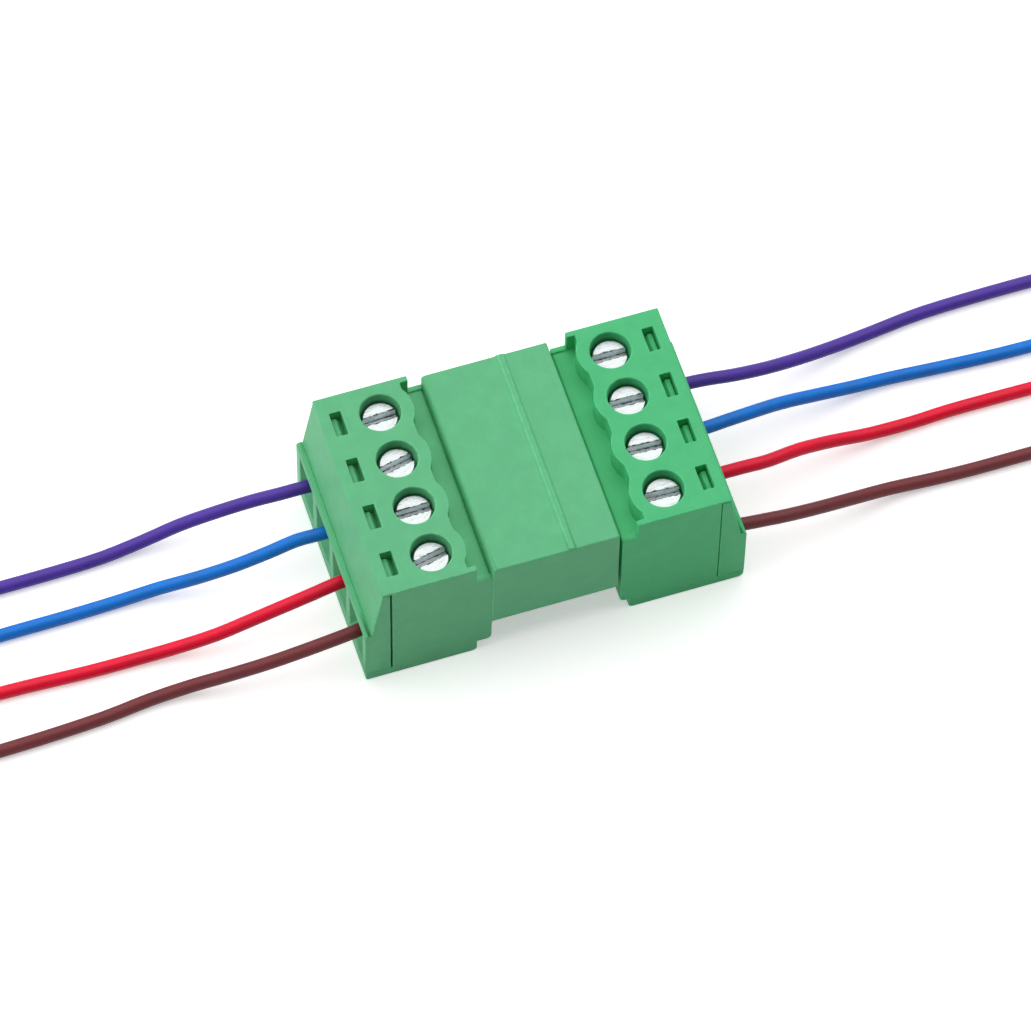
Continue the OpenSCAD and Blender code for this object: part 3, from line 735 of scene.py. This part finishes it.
@dataclass
class FinishBook:
    """The finishes of the whole pair, one material for each slot of the record."""

    pitch: float
    slot_half: float
    made: dict[Slot, bpy.types.Material] = field(default_factory=dict)

    def __post_init__(self) -> None:
        """Builds every material once."""
        finishes = {
            Slot.HEADER_PLASTIC: MouldedPolyamide("header_polyamide", from_display(99, 189, 135)),
            Slot.PLUG_PLASTIC: MouldedPolyamide("plug_polyamide", from_display(79, 193, 128)),
            Slot.SCREW_ZINC: TurnedZinc("bright_zinc", self.pitch, self.slot_half / MM),
            Slot.CAGE_STEEL: PlatedStrip("zinc_plated_steel", (0.68, 0.68, 0.66), 0.38),
            Slot.CONTACT_TIN: PlatedStrip("tinned_brass", (0.78, 0.76, 0.7)),
            Slot.COPPER: DrawnCopper("drawn_copper", (0.83, 0.42, 0.26)),
            Slot.WIRE_PURPLE: VinylSleeve("violet_vinyl", from_display(80, 52, 160)),
            Slot.WIRE_BLUE: VinylSleeve("blue_vinyl", from_display(10, 121, 220)),
            Slot.WIRE_RED: VinylSleeve("red_vinyl", from_display(240, 8, 54)),
            Slot.WIRE_BROWN: VinylSleeve("brown_vinyl", from_display(114, 46, 50)),
        }
        for slot, finish in finishes.items():
            self.made[slot] = finish.material()

    def dress(self, piece: bpy.types.Object, slot: Slot) -> None:
        """Gives a piece the one material of a record slot.

        Args:
            piece: The piece.
            slot: The slot.
        """
        piece.data.materials.clear()
        piece.data.materials.append(self.made[slot])


@dataclass
class SoftenedPart:
    """A rigid piece whose edges carry the small radius of a real moulding or pressing.

    Attributes:
        node: Name of the solid that the piece stands for.
        body: Body that it rides on.
        slot: Slot of its finish.
        edge: Full radius of its edges.
        rows: Y of the rows of holes, where its flat faces are parted.
        segments: Faces across a rounded edge.
        sharp: Degrees between two faces from which their edge is rounded.
        room: Share of a short neighbouring edge that a radius may take.
        least: Share of the full radius below which an edge stays sharp.
        weld: Distance at which two corners are one.
        cut_reach: Distance at which a corner lies on a row's plane.
        flat: Degrees up to which two faces are one.
        face_weight: How much the large faces lead the shading of the corners, to 100.
    """

    node: str
    body: str
    slot: Slot
    edge: float
    rows: list[float]
    segments: int = 2
    sharp: float = 28.0
    room: float = 0.45
    least: float = 0.25
    weld: float = 0.0005 * MM
    cut_reach: float = 0.0002 * MM
    flat: float = 0.4
    face_weight: int = 100

    def part_faces(self, work: bmesh.types.BMesh) -> None:
        """Cuts the faces along each row's middle plane, and marks the cuts as seams.

        Args:
            work: The solid's mesh.
        """
        for row in self.rows:
            cut = bmesh.ops.bisect_plane(
                work,
                geom=[*work.verts, *work.edges, *work.faces],
                dist=self.cut_reach,
                plane_co=(0.0, row, 0.0),
                plane_no=(0.0, 1.0, 0.0),
            )
            for item in cut["geom_cut"]:
                if isinstance(item, bmesh.types.BMEdge):
                    item.seam = True

    def cleaned(self) -> bpy.types.Mesh:
        """Copies the solid's mesh, with its flat faces joined up again.

        A face with a hole in it can't be one polygon, so the faces are parted
        along the rows of holes first.

        Returns:
            The clean mesh, in which each edge has its share of the full radius.
        """
        work = bmesh.new()
        work.from_mesh(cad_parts[self.node].data)
        bmesh.ops.remove_doubles(work, verts=work.verts, dist=self.weld)
        self.part_faces(work)
        bmesh.ops.dissolve_limit(
            work,
            angle_limit=math.radians(self.flat),
            use_dissolve_boundaries=False,
            verts=work.verts,
            edges=work.edges,
            delimit={"SEAM"},
        )
        self.share_radius(work)
        mesh = bpy.data.meshes.new(self.node + "_clean")
        work.to_mesh(mesh)
        work.free()
        return mesh

    def free_radius(self, edge: bmesh.types.BMEdge, sharp: set[bmesh.types.BMEdge]) -> float:
        """Finds the radius that an edge's surroundings leave room for.

        Args:
            edge: The edge to be rounded.
            sharp: All the edges that are to be rounded.

        Returns:
            The radius, no larger than the full one.
        """
        free = self.edge
        for corner in edge.verts:
            ahead = edge.other_vert(corner).co - corner.co
            for beside in corner.link_edges:
                if beside is edge or not set(beside.link_faces) & set(edge.link_faces):
                    continue
                away = beside.other_vert(corner).co - corner.co
                turn = ahead.angle(away)
                grip = math.tan(turn / 2) if beside in sharp else math.sin(turn)
                free = min(free, away.length * self.room * grip)
        return free

    def share_radius(self, work: bmesh.types.BMesh) -> None:
        """Gives each edge its share of the full radius, and leaves the cramped ones sharp.

        Args:
            work: The clean mesh.
        """
        share = work.edges.layers.float.new("bevel_weight_edge")
        limit = math.radians(self.sharp)
        between_two = [edge for edge in work.edges if len(edge.link_faces) == 2]
        sharp = {edge for edge in between_two if edge.calc_face_angle() > limit}
        while True:
            radii = {edge: self.free_radius(edge, sharp) for edge in sharp}
            cramped = {edge for edge, radius in radii.items() if radius < self.least * self.edge}
            if not cramped:
                break
            for edge in cramped:
                edge.smooth = False
            sharp -= cramped
        for edge in sharp:
            edge[share] = radii[edge] / self.edge

    def round_edges(self, piece: bpy.types.Object) -> bpy.types.Mesh:
        """Rounds the edges of a piece, and keeps its flat faces flat to the light.

        Args:
            piece: Piece with the clean mesh, and with a second material place for
                the rounded faces.

        Returns:
            The rounded mesh.
        """
        rounding = piece.modifiers.new("edge_radius", "BEVEL")
        rounding.material = 1
        rounding.width = self.edge
        rounding.segments = self.segments
        rounding.limit_method = "WEIGHT"
        rounding.use_clamp_overlap = False
        weighted = piece.modifiers.new("flat_faces", "WEIGHTED_NORMAL")
        weighted.weight = self.face_weight
        weighted.keep_sharp = True
        graph = bpy.context.evaluated_depsgraph_get()
        rounded = bpy.data.meshes.new_from_object(piece.evaluated_get(graph))
        piece.modifiers.clear()
        return rounded

    def build(self, book: FinishBook) -> bpy.types.Object:
        """Rounds the edges, dresses the piece and puts it in the solid's place.

        Args:
            book: The finishes.

        Returns:
            The finished piece.
        """
        piece = link_new(self.node + "_piece", self.cleaned())
        for face in piece.data.polygons:
            face.use_smooth = True
        # One material place is for the flat faces, the other for the rounded ones.
        piece.data.materials.append(None)
        piece.data.materials.append(None)
        piece.data = self.round_edges(piece)
        mark_rims(piece.data)
        book.dress(piece, self.slot)
        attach(piece, self.body)
        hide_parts(self.node)
        log.info("%s: %d faces", piece.name, len(piece.data.polygons))
        return piece


def mark_rims(mesh: bpy.types.Mesh) -> None:
    """Notes which rounded edges stand out, so that the finish can paint a highlight on them.

    A rounded edge stands out where the faces beside it lie behind it.

    Args:
        mesh: Mesh whose rounded edges have the second material.
    """
    work = bmesh.new()
    work.from_mesh(mesh)
    outward = []
    for face in work.faces:
        middle = face.calc_center_median()
        beside = [other for edge in face.edges for other in edge.link_faces if other is not face]
        ways = [(other.calc_center_median() - middle).normalized() for other in beside]
        rise = sum(way.dot(face.normal) for way in ways)
        outward.append(1.0 if face.material_index == 1 and rise < 0 else 0.0)
    work.free()
    rims = mesh.attributes.new(RIM, "FLOAT", "FACE")
    rims.data.foreach_set("value", outward)
    mesh.polygons.foreach_set("material_index", [0] * len(mesh.polygons))


@dataclass(frozen=True)
class SlottedHead:
    """Place, slot direction and slot width of one screw, taken from its solid.

    Attributes:
        axis: Middle of the screw's box.
        across: Direction across the slot.
        slot_half: Half the slot's width.
        top: Height of the head's top.
        wall_reach: Distance from a wall's plane at which a face lies on the wall.
        wall_facing: Least share in which such a face looks across the slot.
    """

    axis: Vector
    across: Vector
    slot_half: float
    top: float
    wall_reach: float = 0.02 * MM
    wall_facing: float = 0.95

    @classmethod
    def of(cls, node: str) -> "SlottedHead":
        """Measures a screw's solid, whose largest upright faces are the walls of its slot.

        Args:
            node: Name of the solid.

        Returns:
            What was measured.
        """
        low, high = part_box(node)
        axis = (low + high) / 2
        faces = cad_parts[node].data.polygons
        upright = [face for face in faces if abs(face.normal.z) < UPRIGHT]
        wall = max(upright, key=lambda face: face.area)
        across = Vector((wall.normal.x, wall.normal.y, 0.0)).normalized()
        if across.y < 0:
            across.negate()
        return cls(axis, across, abs((wall.center - axis).dot(across)), high.z)

    def mapped(self, point: Vector, face: bpy.types.MeshPolygon) -> Vector:
        """Places a corner of a face on the screw's own map.

        Args:
            point: The corner.
            face: The face that it belongs to.

        Returns:
            Millimetres along and across the slot, then 1 on a wall of the slot.
        """
        along = Vector((self.across.y, -self.across.x, 0.0))
        local = (point - self.axis) / MM
        side = (face.center - self.axis).dot(self.across)
        half = self.slot_half / MM
        depth = (self.top - point.z) / MM
        beside_slot = abs(abs(side) - self.slot_half) < self.wall_reach
        if beside_slot and abs(face.normal.dot(self.across)) > self.wall_facing:
            return Vector((local.dot(along), math.copysign(half + depth, side), 1.0))
        return Vector((local.dot(along), local.dot(self.across), 0.0))


@dataclass
class SlottedScrew(SoftenedPart):
    """A clamp screw, with the map that the marks on its head follow."""

    def build(self, book: FinishBook) -> bpy.types.Object:
        """Builds the softened screw and writes its map.

        Args:
            book: The finishes.

        Returns:
            The finished screw.
        """
        piece = super().build(book)
        head = SlottedHead.of(self.node)
        mesh = piece.data
        marks = mesh.attributes.new(SCREW_MAP, "FLOAT_VECTOR", "CORNER")
        for face in mesh.polygons:
            for corner, vertex in zip(face.loop_indices, face.vertices):
                marks.data[corner].vector = head.mapped(mesh.vertices[vertex].co, face)
        return piece


@dataclass
class StrandBundle:
    """Twisted copper strands at the stripped end of a wire, six of them round a core.

    Attributes:
        name: Name of the piece.
        body: Body that it rides on.
        start: Middle of its inner end.
        heading: Direction towards its outer end.
        length: Length of the longest strand.
        strand: Diameter of a strand.
        twist: Length of one turn of the outer strands.
        flare: Distance by which the outer strands spread at their ends.
        flare_swing: How much of the flare differs from strand to strand.
        flare_step: Step of that difference, in radians.
        trim: Share of the length in one step of the strands' uneven ends.
        trims: Steps by which each strand is short, the core's first.
        look_ahead: Share of the length over which a strand's direction is taken.
        sides: Sides of a strand.
        rings: Stretches along a strand.
    """

    name: str
    body: str
    start: Vector
    heading: Vector
    length: float
    strand: float = 0.25 * MM
    twist: float = 3.2 * MM
    flare: float = 0.0
    flare_swing: float = 0.4
    flare_step: float = 2.3
    trim: float = 0.05
    trims: tuple[int, ...] = (0, 3, 2, 1, 0, 3, 2)
    look_ahead: float = 0.01
    sides: int = 8
    rings: int = 22

    def strand_point(self, index: int, t: float) -> Vector:
        """Finds the centre of a strand at a share of the bundle's length.

        Args:
            index: 0 for the core strand, and from 1 on for those round it.
            t: Share of the length, from 0 to 1.

        Returns:
            The point, in the bundle's own axes with Z along the wire.
        """
        if index == 0:
            return Vector((0.0, 0.0, self.length * t))
        outer = len(self.trims) - 1
        angle = math.tau * (index / outer + self.length * t / self.twist)
        own = 1.0 - self.flare_swing + self.flare_swing * math.sin(self.flare_step * index)
        radius = self.strand + self.flare * t * t * own
        return Vector((radius * math.cos(angle), radius * math.sin(angle), self.length * t))

    def sweep(self, work: bmesh.types.BMesh, index: int) -> None:
        """Sweeps one strand.

        Args:
            work: Mesh that takes the strand.
            index: Number of the strand.
        """
        turn = self.heading.to_track_quat("Z", "Y")
        cut = 1.0 - self.trim * self.trims[index]
        loops = []
        for ring in range(self.rings + 1):
            t = cut * ring / self.rings
            centre = self.strand_point(index, t)
            ahead = self.strand_point(index, t + self.look_ahead) - centre
            spin = ahead.to_track_quat("Z", "Y")
            loop = []
            for side in range(self.sides):
                angle = math.tau * side / self.sides
                rim = Vector((math.cos(angle), math.sin(angle), 0.0)) * self.strand / 2
                loop.append(work.verts.new(self.start + turn @ (centre + spin @ rim)))
            loops.append(loop)
        for near, far in zip(loops, loops[1:]):
            for side in range(self.sides):
                after = (side + 1) % self.sides
                work.faces.new((near[side], near[after], far[after], far[side]))
        work.faces.new(tuple(reversed(loops[0])))
        work.faces.new(tuple(loops[-1]))

    def build(self, book: FinishBook) -> bpy.types.Object:
        """Sweeps every strand, and joins them in one mesh.

        Args:
            book: The finishes.

        Returns:
            The finished bundle.
        """
        work = bmesh.new()
        for index in range(len(self.trims)):
            self.sweep(work, index)
        mesh = bpy.data.meshes.new(self.name)
        work.normal_update()
        work.to_mesh(mesh)
        work.free()
        for face in mesh.polygons:
            face.use_smooth = len(face.vertices) == 4
        piece = link_new(self.name, mesh)
        book.dress(piece, Slot.COPPER)
        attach(piece, self.body)
        log.info("%s: %d strands", piece.name, len(self.trims))
        return piece


def smooth_route(points: list[Vector], steps: int) -> list[Vector]:
    """Runs one smooth curve through a list of points.

    Args:
        points: The points that the curve passes.
        steps: Pieces that each stretch between two points is cut into.

    Returns:
        Points close together along the curve.
    """
    padded = [2 * points[0] - points[1], *points, 2 * points[-1] - points[-2]]
    route = []
    for a, b, c, d in zip(padded, padded[1:], padded[2:], padded[3:]):
        for step in range(steps):
            t = step / steps
            square = (2 * a - 5 * b + 4 * c - d) * t * t
            cube = (3 * b - a - 3 * c + d) * t ** 3
            route.append(0.5 * (2 * b + (c - a) * t + square + cube))
    route.append(points[-1])
    return route


def trimmed(route: list[Vector], spare: float) -> list[Vector]:
    """Takes a length off the end of a route.

    Args:
        route: Points along the route.
        spare: Length to take off.

    Returns:
        The shorter route.
    """
    left = list(route)
    while len(left) > 2 and (left[-1] - left[-2]).length < spare:
        spare -= (left[-1] - left[-2]).length
        left.pop()
    end = left[-1] + (left[-2] - left[-1]).normalized() * spare
    return [*left[:-1], end]


def route_length(route: list[Vector]) -> float:
    """Returns the length of a route."""
    return sum((b - a).length for a, b in zip(route, route[1:]))


# Routes of the wires in each half's own frame, in millimetres: outward from the
# screw axis, across the row and up. They repeat those of the solids.
ROUTES: dict[tuple[Half, Pole], list[Point]] = {
    (Half.HEADER, Pole.PURPLE): [
        (4.25, 7.62, 5), (7.5, 7.65, 5), (9.7, 7.7, 4.9), (12.2, 8, 4.45), (15.5, 8.4, 3.5),
        (19, 8.8, 2.25), (22.5, 8.8, 1.15), (26.5, 8.5, 0.7), (31, 8.35, 0.65), (36, 8.3, 0.65),
        (40.5, 8.3, 0.65),
    ],
    (Half.HEADER, Pole.BLUE): [
        (4.25, 2.54, 5), (7.5, 2.5, 5), (9.7, 2.55, 4.9), (12.2, 2.4, 4.45), (15.5, 2.5, 3.5),
        (19, 3, 2.25), (22.5, 3.6, 1.15), (26.5, 3.65, 0.7), (31, 3.55, 0.65), (36.5, 3.5, 0.65),
        (42, 3.4, 0.65),
    ],
    (Half.HEADER, Pole.RED): [
        (4.25, -2.54, 5), (7.5, -2.9, 5), (9.7, -3.2, 4.9), (12.2, -3.35, 4.45), (15.5, -3.35, 3.5),
        (19, -3.2, 2.25), (22.5, -2.8, 1.15), (26.5, -2.6, 0.7), (31, -2.55, 0.65), (37, -2.3, 0.65),
        (43, -2.2, 0.65),
    ],
    (Half.HEADER, Pole.BROWN): [
        (4.25, -7.62, 5), (7.5, -8.15, 5), (9.7, -8.35, 4.9), (12.2, -8.35, 4.45), (15.5, -8.1, 3.5),
        (19, -7.55, 2.25), (22.5, -7, 1.15), (26.5, -7, 0.7), (31, -7.5, 0.65), (37.5, -7.85, 0.65),
        (44.5, -8, 0.65),
    ],
    (Half.PLUG, Pole.PURPLE): [
        (4.25, 7.62, 5), (7.5, 7.6, 5), (9.7, 7.5, 4.9), (12.2, 7.45, 4.45), (15.5, 7.8, 3.5),
        (19, 8.55, 2.25), (22.8, 9.4, 1.15), (27, 10.1, 0.7), (32, 10.7, 0.65), (39, 10.9, 0.65),
        (46.5, 10.9, 0.65),
    ],
    (Half.PLUG, Pole.BLUE): [
        (4.25, 2.54, 5), (7.5, 2.55, 5), (9.7, 2.75, 4.9), (12.2, 3.15, 4.45), (15.5, 3.8, 3.5),
        (19, 4.35, 2.25), (22.8, 4.75, 1.15), (27, 4.85, 0.7), (32, 4.55, 0.65), (38, 4.25, 0.65),
        (44.3, 4.2, 0.65),
    ],
    (Half.PLUG, Pole.RED): [
        (4.25, -2.54, 5), (7.5, -2.45, 5), (9.7, -2.4, 4.9), (12.2, -2.2, 4.45), (15.5, -1.4, 3.5),
        (19, -0.8, 2.25), (22.8, -0.5, 1.15), (27, -0.3, 0.7), (31, -0.1, 0.65), (36.5, -0.1, 0.65),
        (42.7, -0.2, 0.65),
    ],
    (Half.PLUG, Pole.BROWN): [
        (4.25, -7.62, 5), (7.5, -8.1, 5), (9.7, -8.25, 4.9), (12.2, -8.2, 4.45), (15.5, -7.8, 3.5),
        (19, -7.15, 2.25), (22.8, -6.6, 1.15), (27, -6.6, 0.7), (31, -6.7, 0.65), (35.5, -6.7, 0.65),
        (40.3, -6.7, 0.65),
    ],
}


@dataclass
class Lead:
    """One insulated wire, from the clamp through its funnel to its stripped end on the floor.

    Attributes:
        half: Half that clamps the wire.
        pole: Pole that it belongs to.
        screw_x: Distance of the half's screws from the middle of the pair.
        exit_reach: Distance of the cap's face from the screws; not used.
        diameter: Outer diameter of the insulation.
        bare: Length of the stripped end.
        tuck: Length by which the strands start inside the insulation.
        flare: Distance by which the strands spread at their ends.
        steps: Pieces of each stretch of the route.
        roundness: Fineness of the sleeve's round section.
    """

    half: Half
    pole: Pole
    screw_x: float
    exit_reach: float
    diameter: float = 1.26 * MM
    bare: float = 3.2 * MM
    tuck: float = 0.1 * MM
    flare: float = 0.1 * MM
    steps: int = 3
    roundness: int = 6

    @property
    def name(self) -> str:
        """Name of the wire, made from its half and its colour."""
        return f"{self.half.value}_wire_{self.pole.value}"

    def placed(self, point: Point) -> Vector:
        """Turns a point in the half's own frame, in millimetres, into one in the pair's frame."""
        reach, across, height = point
        return Vector((self.half.outward * (self.screw_x + reach * MM), across * MM, height * MM))

    def sleeve(self, route: list[Vector], book: FinishBook) -> bpy.types.Object:
        """Makes the insulation in the place of the solid wire.

        Args:
            route: Points along its middle.
            book: The finishes.

        Returns:
            The insulation.
        """
        curve = bpy.data.curves.new(self.name + "_sleeve", "CURVE")
        curve.dimensions = "3D"
        curve.bevel_depth = self.diameter / 2
        curve.bevel_resolution = self.roundness
        curve.use_fill_caps = True
        spline = curve.splines.new("POLY")
        spline.points.add(len(route) - 1)
        for knot, point in zip(spline.points, route):
            knot.co = (*point, 1.0)
        spline.use_smooth = True
        made = link_new(self.name + "_sleeve", curve)
        book.dress(made, Slot.wire(self.pole))
        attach(made, self.half.value)
        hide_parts(self.name)
        return made

    def build(self, book: FinishBook) -> bpy.types.Object:
        """Makes the sleeve and the stripped end on the floor.

        Args:
            book: The finishes.

        Returns:
            The insulated sleeve.
        """
        whole = smooth_route([self.placed(point) for point in ROUTES[self.half, self.pole]], self.steps)
        route = trimmed(whole, self.bare)
        sleeve = self.sleeve(route, book)
        tail = StrandBundle(
            self.name + "_strands",
            self.half.value,
            route[-1] - (route[-1] - route[-2]).normalized() * self.tuck,
            (whole[-1] - route[-1]).normalized(),
            self.bare,
            flare=self.flare,
        ).build(book)
        log.info("%s: %.1f mm of insulation", sleeve.name, route_length(route) / MM)
        return sleeve


@dataclass
class ClampedEnd:
    """Stripped copper between a cage's floor and the contact strip."""

    half: Half
    pole: Pole

    def build(self, book: FinishBook) -> bpy.types.Object:
        """Builds the strands in the place of the solid end, which is three strands high.

        Args:
            book: The finishes.

        Returns:
            The finished bundle.
        """
        node = f"{self.half.value}_copper_{self.pole.value}"
        low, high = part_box(node)
        middle = (low + high) / 2
        start_x = low.x if self.half is Half.PLUG else high.x
        piece = StrandBundle(
            node + "_strands",
            self.half.value,
            Vector((start_x, middle.y, middle.z)),
            Vector((self.half.outward, 0.0, 0.0)),
            high.x - low.x,
            strand=(high.z - low.z) / 3,
        ).build(book)
        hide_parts(node)
        return piece


@dataclass
class TerminalHalf:
    """One screw block with its cap, clamps, contacts and leads.

    Attributes:
        half: Which half it is.
        screw_x: Distance of its screws from the middle of the pair.
        rows: Y of each pole.
        moulding_edge: Radius of the mouldings' edges.
        metal_edge: Radius of the edges of screws, cages and contacts.
    """

    half: Half
    screw_x: float
    rows: list[float]
    moulding_edge: float = 0.09 * MM
    metal_edge: float = 0.05 * MM

    def face_reach(self) -> float:
        """Returns the distance of the wire cap's face from the screws."""
        low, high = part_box(f"{self.half.value}_wire_cap")
        return max(abs(low.x), abs(high.x)) - self.screw_x

    def build_pole(self, pole: Pole, book: FinishBook) -> None:
        """Builds the screw, cage, contact, clamped copper and lead of one pole.

        Args:
            pole: The pole.
            book: The finishes.
        """
        body = self.half.value
        screw = f"{body}_screw_{pole.value}"
        cage = f"{body}_cage_{pole.value}"
        contact = f"{body}_contact_{pole.value}"
        SlottedScrew(screw, screw, Slot.SCREW_ZINC, self.metal_edge, []).build(book)
        SoftenedPart(cage, cage, Slot.CAGE_STEEL, self.metal_edge, self.rows).build(book)
        SoftenedPart(contact, body, Slot.CONTACT_TIN, self.metal_edge, []).build(book)
        ClampedEnd(self.half, pole).build(book)
        Lead(self.half, pole, self.screw_x, self.face_reach()).build(book)

    def build(self, book: FinishBook) -> None:
        """Builds every piece of the half.

        Args:
            book: The finishes.
        """
        body = self.half.value
        plastic = Slot.plastic(self.half)
        for moulding in (f"{body}_housing", f"{body}_wire_cap"):
            SoftenedPart(moulding, body, plastic, self.moulding_edge, self.rows).build(book)
        for pole in Pole:
            self.build_pole(pole, book)
        log.info("%s half built", body)


def direction(azimuth: float, elevation: float) -> Vector:
    """Finds the unit vector from the object towards a viewpoint.

    Args:
        azimuth: Degrees round Z, 0 in front at -Y and 90 at +X.
        elevation: Degrees above the floor.

    Returns:
        The direction.
    """
    turn, rise = math.radians(azimuth), math.radians(elevation)
    level = math.cos(rise)
    return Vector((math.sin(turn) * level, -math.cos(turn) * level, math.sin(rise)))


@dataclass(frozen=True)
class Softbox:
    """One rectangular studio light aimed at the pair, placed by its angles in degrees."""

    name: str
    azimuth: float
    elevation: float
    size: Span
    power: float
    colour: Colour = WHITE
    distance: float = 0.60

    def build(self, target: Vector) -> None:
        """Places the light.

        Args:
            target: Point that it faces.
        """
        lamp = bpy.data.lights.new(self.name, "AREA")
        lamp.shape = "RECTANGLE"
        lamp.size, lamp.size_y = self.size
        lamp.energy = self.power
        lamp.color = self.colour
        placed = link_new(self.name, lamp)
        back = direction(self.azimuth, self.elevation)
        placed.location = target + back * self.distance
        placed.rotation_mode = "QUATERNION"
        placed.rotation_quaternion = (-back).to_track_quat("-Z", "Y")
        log.info("%s placed", self.name)


@dataclass
class Studio:
    """Camera, floor, surroundings and lights.

    Attributes:
        top: Height of the pair, at which the camera aims.
        aim: X and Y of the point at which it aims.
        azimuth: Degrees of the camera round Z, 0 in front.
        elevation: Degrees of the camera above the floor.
        roll: Degrees by which the camera is turned about its own axis.
        distance: Distance of the camera from the point at which it aims.
        lens: Focal length in millimetres.
        sensor: Width of the sensor in millimetres.
        depth: Nearest and farthest distance that the camera sees.
        floor_half: Half the side of the floor.
        paper: Grain of the floor's faint shades.
        paper_shades: Those shades of white.
        paper_roughness: Roughness of the floor.
        paper_specular: Gloss of the floor.
        paper_glow: Glow of the floor where it is seen.
        tent_tint: Colour of the light from all round.
        tent_fill: Strength of that light.
        softboxes: The lights.
    """

    top: float
    aim: Span = (-2.6 * MM, -6.3 * MM)
    azimuth: float = -18.9
    elevation: float = 60.1
    roll: float = 1.16
    distance: float = 0.6095
    lens: float = 237.6
    sensor: float = 36.0
    depth: Span = (0.01, 20.0)
    floor_half: float = 0.9
    paper: Grain = Grain(30 * MM, 2.0)
    paper_shades: Span = (0.93, 0.95)
    paper_roughness: float = 0.9
    paper_specular: float = 0.1
    paper_glow: float = 0.45
    tent_tint: Colour = (0.92, 1.0, 0.99)
    tent_fill: float = 0.1
    softboxes: tuple[Softbox, ...] = (
        Softbox("overhead_softbox", 172.0, 68.0, (1.3, 0.9), 6.2, (1.0, 0.965, 0.97)),
        Softbox("side_softbox", -96.0, 22.0, (0.5, 0.4), 1.1),
    )

    @property
    def target(self) -> Vector:
        """Point at which the camera and the lights aim."""
        return Vector((*self.aim, self.top))

    def camera(self) -> None:
        """Makes the camera and sets it as the scene's."""
        data = bpy.data.cameras.new("studio_camera")
        data.lens = self.lens
        data.sensor_width = self.sensor
        data.clip_start, data.clip_end = self.depth
        made = link_new("studio_camera", data)
        back = direction(self.azimuth, self.elevation)
        made.location = self.target + back * self.distance
        made.rotation_mode = "QUATERNION"
        upright = (-back).to_track_quat("-Z", "Y")
        made.rotation_quaternion = upright @ Euler((0.0, 0.0, math.radians(self.roll))).to_quaternion()
        bpy.context.scene.camera = made

    def floor(self) -> None:
        """Lays the pale floor."""
        work = bmesh.new()
        half = self.floor_half
        corners = ((-half, -half), (half, -half), (half, half), (-half, half))
        work.faces.new([work.verts.new((x, y, 0.0)) for x, y in corners])
        mesh = bpy.data.meshes.new("studio_floor")
        work.to_mesh(mesh)
        work.free()
        laid = link_new("studio_floor", mesh)
        sheet = ShaderSheet("studio_paper")
        shade = sheet.spread(sheet.noise(self.paper), FULL)
        sheet.link(sheet.shaded(shade, WHITE, self.paper_shades), Socket.COLOUR)
        sheet.set(Socket.ROUGHNESS, self.paper_roughness)
        sheet.set(Socket.SPECULAR, self.paper_specular)
        sheet.set(Socket.GLOW_COLOUR, scaled(WHITE))
        sheet.link(sheet.math(Maths.MULTIPLY, sheet.seen_ray(), self.paper_glow), Socket.GLOW)
        mesh.materials.append(sheet.material)

    def surroundings(self) -> None:
        """Makes the world white to the camera and in reflections, and gentle as a light."""
        world = bpy.data.worlds.new("studio_tent")
        world.use_nodes = True
        bpy.context.scene.world = world
        sheet = NodeSheet(world.node_tree)
        tent = sheet.blend(sheet.seen_ray(), scaled(self.tent_tint, self.tent_fill), scaled(WHITE))
        sheet.links.new(tent, sheet.nodes["Background"].inputs["Color"])

    def build(self) -> None:
        """Builds the whole studio."""
        self.camera()
        self.floor()
        self.surroundings()
        for softbox in self.softboxes:
            softbox.build(self.target)
        bpy.context.scene.view_settings.view_transform = "Standard"
        log.info("studio built")


def pole_row(pole: Pole) -> float:
    """Returns Y of a pole, from the middle of its screw."""
    low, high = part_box(f"{Half.HEADER.value}_screw_{pole.value}")
    return (low.y + high.y) / 2


def screw_axis(half: Half) -> float:
    """Returns the distance of a half's screws from the middle of the pair."""
    low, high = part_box(f"{half.value}_screw_{Pole.BLUE.value}")
    return abs((low.x + high.x) / 2)


def main() -> None:
    """Builds the studio, the finishes and both halves."""
    logging.basicConfig(level=logging.INFO, format="%(name)s %(message)s")
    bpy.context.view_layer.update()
    _, housing_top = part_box("header_housing")
    Studio(housing_top.z).build()
    rows = [pole_row(pole) for pole in Pole]
    pitch = (rows[0] - rows[-1]) / (len(rows) - 1)
    book = FinishBook(pitch, SlottedHead.of("header_screw_blue").slot_half)
    for half in Half:
        TerminalHalf(half, screw_axis(half), rows).build(book)


if __name__ == "__main__":
    main()
